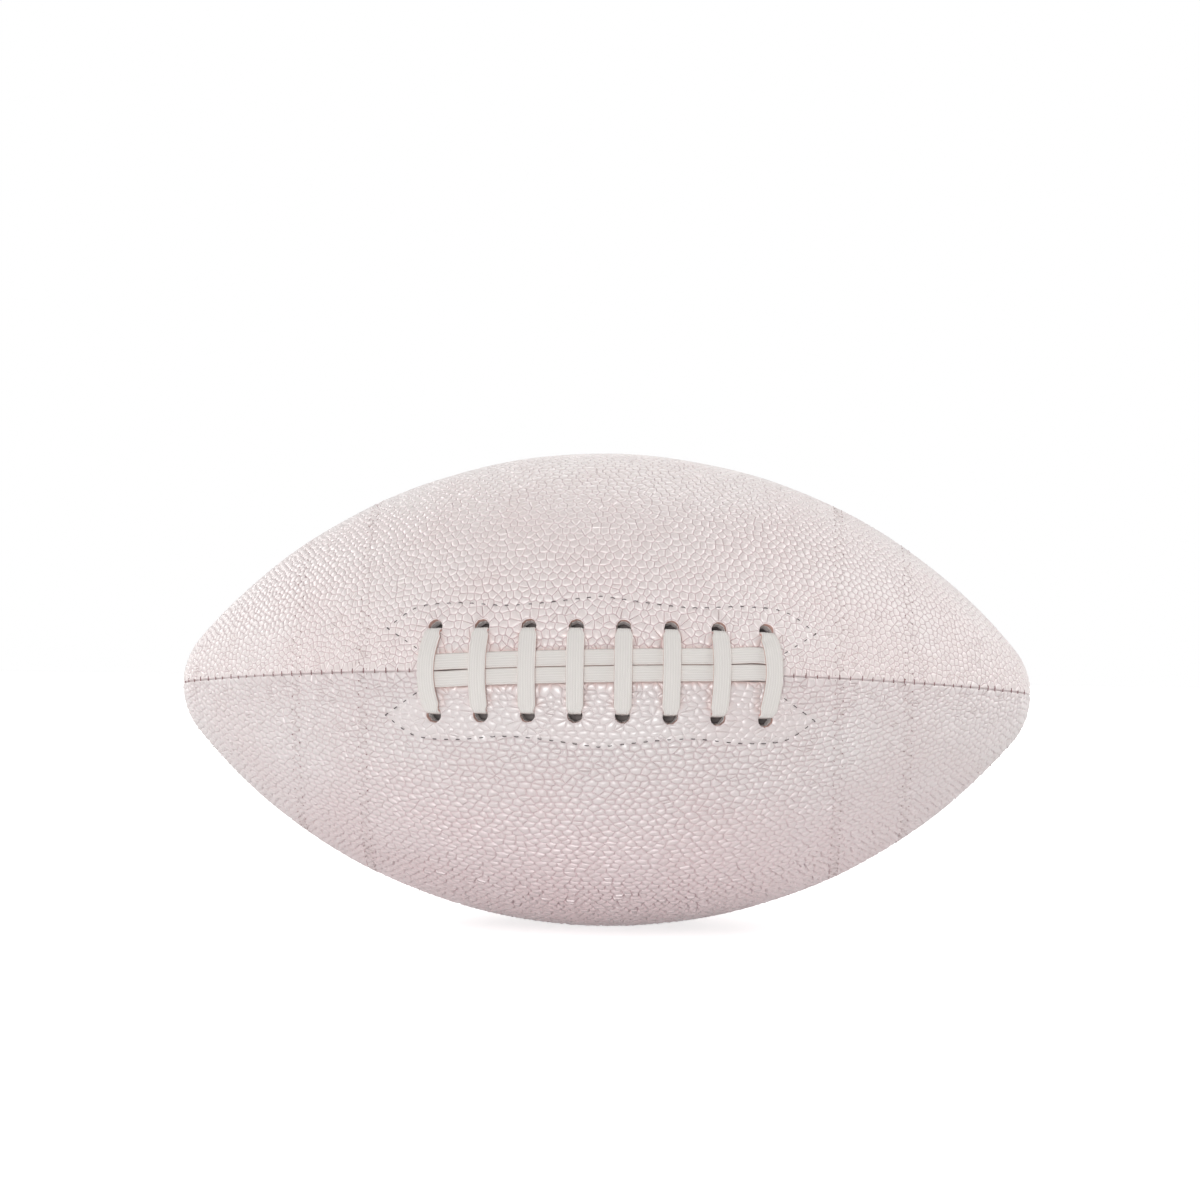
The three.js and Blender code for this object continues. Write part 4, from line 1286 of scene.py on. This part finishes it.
def lace_material():
    """White cloth tape: fine ribs along it, a faint slanted weave, a ridge by each selvage and painted
    shade on its side walls.
    """
    n = Nodes(bpy.data.materials.new("woven_lace_cloth"))
    along, across = n.attribute("along"), n.attribute("across")
    edge = n.math("ABSOLUTE", across)
    rib = n.math("SINE", n.times(across, RIB_WAVES))
    twill = n.math("SINE", n.add(n.times(along, TWILL_WAVES), n.times(edge, TWILL_SLANT)))
    weave = n.add(n.times(rib, RIB_SHARE), n.times(twill, TWILL_SHARE))
    shade = n.ramp(n.share(weave), (0.0, LACE_LOW), (1.0, LACE_HIGH))
    # The pink on the side walls, past 0.97 across, is painted shade between the runs and beside the
    # bars
    selvage = n.ramp(edge, (0.74, WHITE), (0.80, SELVAGE_GROOVE), (0.86, WHITE),
                     (0.97, WHITE), (1.0, SIDE_WALL_PAINTED_SHADE))
    n.set(Base_Color=n.mix(1.0, shade, selvage, "MULTIPLY"), Specular_IOR_Level=0.3)
    n.speckle(900.0, 0.75, 0.92)
    n.bump(n.add(weave, n.times(n.noise(FUZZ_SCALE), FUZZ_SHARE)), 0.04, 0.5)
    return n.owner


TWIST_WAVES = 9.0


def thread_material(name, low, high):
    n = Nodes(bpy.data.materials.new(name))
    twist = n.math("SINE", n.times(n.attribute("along"), TWIST_WAVES))
    n.set(Base_Color=n.ramp(n.share(twist), (0.0, low), (1.0, high)))
    n.speckle(1500.0, 0.6, 0.8)
    n.bump(twist, 0.04, 0.6)
    return n.owner


def cloth_material(name, low, high, scale):
    n = Nodes(bpy.data.materials.new(name))
    waves = []
    for axis in ("X", "Z"):
        wave = n.new("TexWave", bands_direction=axis)
        n.fill(wave, Scale=scale, Distortion=1.5, Vector=n.where())
        waves.append(wave.outputs["Fac"])
    weave = n.times(*waves)
    n.set(Base_Color=n.ramp(weave, (0.0, low), (1.0, high)))
    n.speckle(300.0, 0.8, 0.95)
    n.bump(weave, 0.15, 0.6)
    return n.owner


def rubber_material(name, low, high):
    n = Nodes(bpy.data.materials.new(name))
    n.set(Base_Color=n.ramp(n.noise(180.0, 4.0), (0.3, low), (0.7, high)))
    n.speckle(500.0, 0.5, 0.7, 0.3, 0.7)
    n.bump(n.noise(1800.0), 0.04, 0.5)
    return n.owner


# In each copy the pale shoulders are painted highlight and the mauve grooves are painted shade
leather = {
    "upper": leather_material("pearl_leather_upper", top=colour(225, 215, 213),
                              shoulder=colour(235, 227, 225), groove=colour(207, 188, 190)),
    # The lower copy is darker than the upper: painted shade of the ball's lower half
    "lower": leather_material("pearl_leather_lower", top=colour(217, 209, 208),
                              shoulder=colour(220, 212, 211), groove=colour(211, 198, 199)),
}
dark_thread = thread_material("dark_thread", colour(40, 33, 36), colour(66, 57, 60))
maroon_thread = thread_material("maroon_thread", colour(122, 86, 88), colour(158, 122, 122))
# The rose thread at the needle holes is painted shade of the holes
painted_hole_shade_thread = thread_material("painted_hole_shade_thread", colour(152, 120, 120), colour(180, 152, 151))
pale_thread = thread_material("pale_thread", colour(214, 201, 200), colour(226, 215, 214))
valve_rubber = rubber_material("valve_rubber", colour(206, 198, 196), colour(224, 217, 215))
plug_rubber = rubber_material("valve_plug_rubber", colour(66, 62, 62), colour(90, 84, 84))
carried = {
    "lining": cloth_material("lining_canvas", colour(222, 216, 214), colour(238, 232, 230), 700.0),
    "lace_facing": cloth_material("facing_felt", colour(222, 214, 213), colour(238, 230, 229), 1400.0),
    "lace_tongue": cloth_material("tongue_felt", colour(152, 141, 139), colour(168, 156, 154), 1400.0),
    "bladder": rubber_material("bladder_rubber", colour(26, 23, 23), colour(37, 33, 33)),
}

# The pieces
rng = np.random.default_rng(SEED)
seeds = {panel: make_panel(panel, quarter, rng) for panel, quarter in PANELS.items()}
for end in ENDS:
    for level in LEVELS:
        make_stripe(end, level, seeds["front_" + level])
        zigzags(end, level, pale_thread, painted_hole_shade_thread)
make_lace(lace_material())
for level in LEVELS:
    facing_stitches(level, dark_thread)
for seam, turn in SEAMS.items():
    seam_stitches(seam, turn, rng, maroon_thread)

# The valve's rounded corners are steps (in from the wall, down from the valve's face)
RIM_CORNER = ((0.0, 0.35), (0.12, 0.1), (0.4, 0.0))
BORE_CORNER = ((-0.4, 0.0), (-0.15, 0.1), (-0.02, 0.3))
PLUG_CORNER = ((0.0, 0.3), (0.16, 0.12))
NEEDLE_CORNER = ((0.0, 0.1), (0.4, 0.45))


def rounded(radius, corner):
    return [(radius - inward, -VALVE_RECESS - down) for inward, down in corner]


turned_piece("valve_mouth", [
    (BORE_RADIUS, -VALVE_DEPTH),
    (VALVE_RADIUS, -VALVE_DEPTH),
    *rounded(VALVE_RADIUS, RIM_CORNER),
    *rounded(BORE_RADIUS, BORE_CORNER),
], valve_rubber, "valve_housing")
turned_piece("valve_core", [
    (NEEDLE_HOLE_RADIUS, -VALVE_DEPTH),
    (PLUG_RADIUS, -VALVE_DEPTH),
    *rounded(PLUG_RADIUS, PLUG_CORNER),
    *rounded(NEEDLE_MOUTH_RADIUS, NEEDLE_CORNER),
    (NEEDLE_HOLE_RADIUS, -VALVE_RECESS - NEEDLE_MOUTH_DEPTH),
], plug_rubber, "valve_plug")

for name, node in frame["nodes"].items():
    for start, material in carried.items():
        if name.startswith(start):
            node.data.materials.clear()
            node.data.materials.append(material)

# Camera
CAMERA_DISTANCE = 1400.0
CAMERA_RISE = math.radians(3.65)
CAMERA_SWING = math.radians(1.6)
CAMERA_ROLL = math.radians(0.7)
FRAME_WIDTH = 396.7
AIM_UP = 29.6
AIM_LEFT = 2.3
SENSOR_WIDTH = 36.0
CLIP_START = 0.05
CLIP_END = 50.0

scene = bpy.context.scene
middle = Vector((0.0, 0.0, AXIS_HEIGHT * MM))
right = Vector((math.cos(CAMERA_SWING), math.sin(CAMERA_SWING), 0.0))
level_back = Vector((math.sin(CAMERA_SWING), -math.cos(CAMERA_SWING), 0.0))
back = level_back * math.cos(CAMERA_RISE) + Vector((0.0, 0.0, math.sin(CAMERA_RISE)))
up = back.cross(right)
spot = middle + back * CAMERA_DISTANCE * MM
aim = middle + (up * AIM_UP - right * AIM_LEFT) * MM
lens = bpy.data.cameras.new("camera")
lens.sensor_width = SENSOR_WIDTH
lens.lens = SENSOR_WIDTH * CAMERA_DISTANCE / FRAME_WIDTH
lens.clip_start, lens.clip_end = CLIP_START, CLIP_END
camera = bpy.data.objects.new("camera", lens)
scene.collection.objects.link(camera)
look = (aim - spot).normalized().to_track_quat("-Z", "Y").to_matrix().to_4x4()
camera.matrix_world = Matrix.Translation(spot) @ look @ Matrix.Rotation(CAMERA_ROLL, 4, "Z")
scene.camera = camera

# Floor and world: both show white, and light the ball at a plain level
FLOOR_HALF = 1.3
FLOOR_GLOW = 0.7
WORLD_FILL = 0.08

floor_data = bpy.data.meshes.new("floor")
corners = [(-1, -1), (1, -1), (1, 1), (-1, 1)]
floor_data.from_pydata([(x * FLOOR_HALF, y * FLOOR_HALF, 0) for x, y in corners], [], [range(4)])
floor = bpy.data.objects.new("floor", floor_data)
scene.collection.objects.link(floor)
n = Nodes(bpy.data.materials.new("floor_paper"))
paper = n.ramp(n.noise(3.0), (0.0, colour(232, 232, 232)), (1.0, colour(236, 236, 236)))
n.set(Base_Color=paper, Roughness=0.9, Specular_IOR_Level=0.1, Emission_Color=WHITE,
      Emission_Strength=n.times(n.seen(), FLOOR_GLOW))
floor_data.materials.append(n.owner)

scene.world = bpy.data.worlds.new("studio")
n = Nodes(scene.world)
shown = n.new("MixShader")
n.put(n.seen(), shown.inputs[0])
for k, strength in ((1, WORLD_FILL), (2, 1.0)):
    light = n.fill(n.new("Background"), Color=WHITE, Strength=strength)
    n.put(light, shown.inputs[k])
n.put(shown.outputs[0], n.tree.nodes["World Output"].inputs["Surface"])

# Lamps
SOFTBOX = (0.8, 0.7)
LOW_SOFTBOX = (0.8, 0.32)
REAR_SOFTBOX = (0.8, 0.5)


def softbox(name, where, power, size=SOFTBOX, glints=True):
    """A soft lamp turned to the ball. One without glints leaves no gloss on the ball's rim."""
    lamp = bpy.data.lights.new(name, "AREA")
    lamp.shape = "RECTANGLE"
    lamp.size, lamp.size_y = size
    lamp.energy = power
    box = bpy.data.objects.new(name, lamp)
    box.location = where
    box.visible_glossy = glints
    box.rotation_euler = (middle - Vector(where)).to_track_quat("-Z", "Y").to_euler()
    scene.collection.objects.link(box)


softbox("softbox_front", (-0.16, -1.69, 0.17), 13.1, LOW_SOFTBOX)
softbox("softbox_key", (-0.95, -1.13, 0.93), 3.7, glints=False)
softbox("softbox_left", (-1.58, -0.06, 0.72), 5.8)
softbox("softbox_left_back", (-1.3, 0.69, 0.93), 6.8)
softbox("softbox_right", (1.58, -0.06, 0.72), 4.2)
softbox("softbox_right_high", (1.2, -0.04, 1.28), 8.4)
softbox("softbox_right_back", (1.3, 0.69, 0.93), 6.0, glints=False)
softbox("softbox_back", (0.0, 1.09, 1.38), 3.9)
softbox("softbox_rear", (0.2, 1.65, 0.42), 6.0, REAR_SOFTBOX, glints=False)

scene.view_settings.view_transform = "Standard"
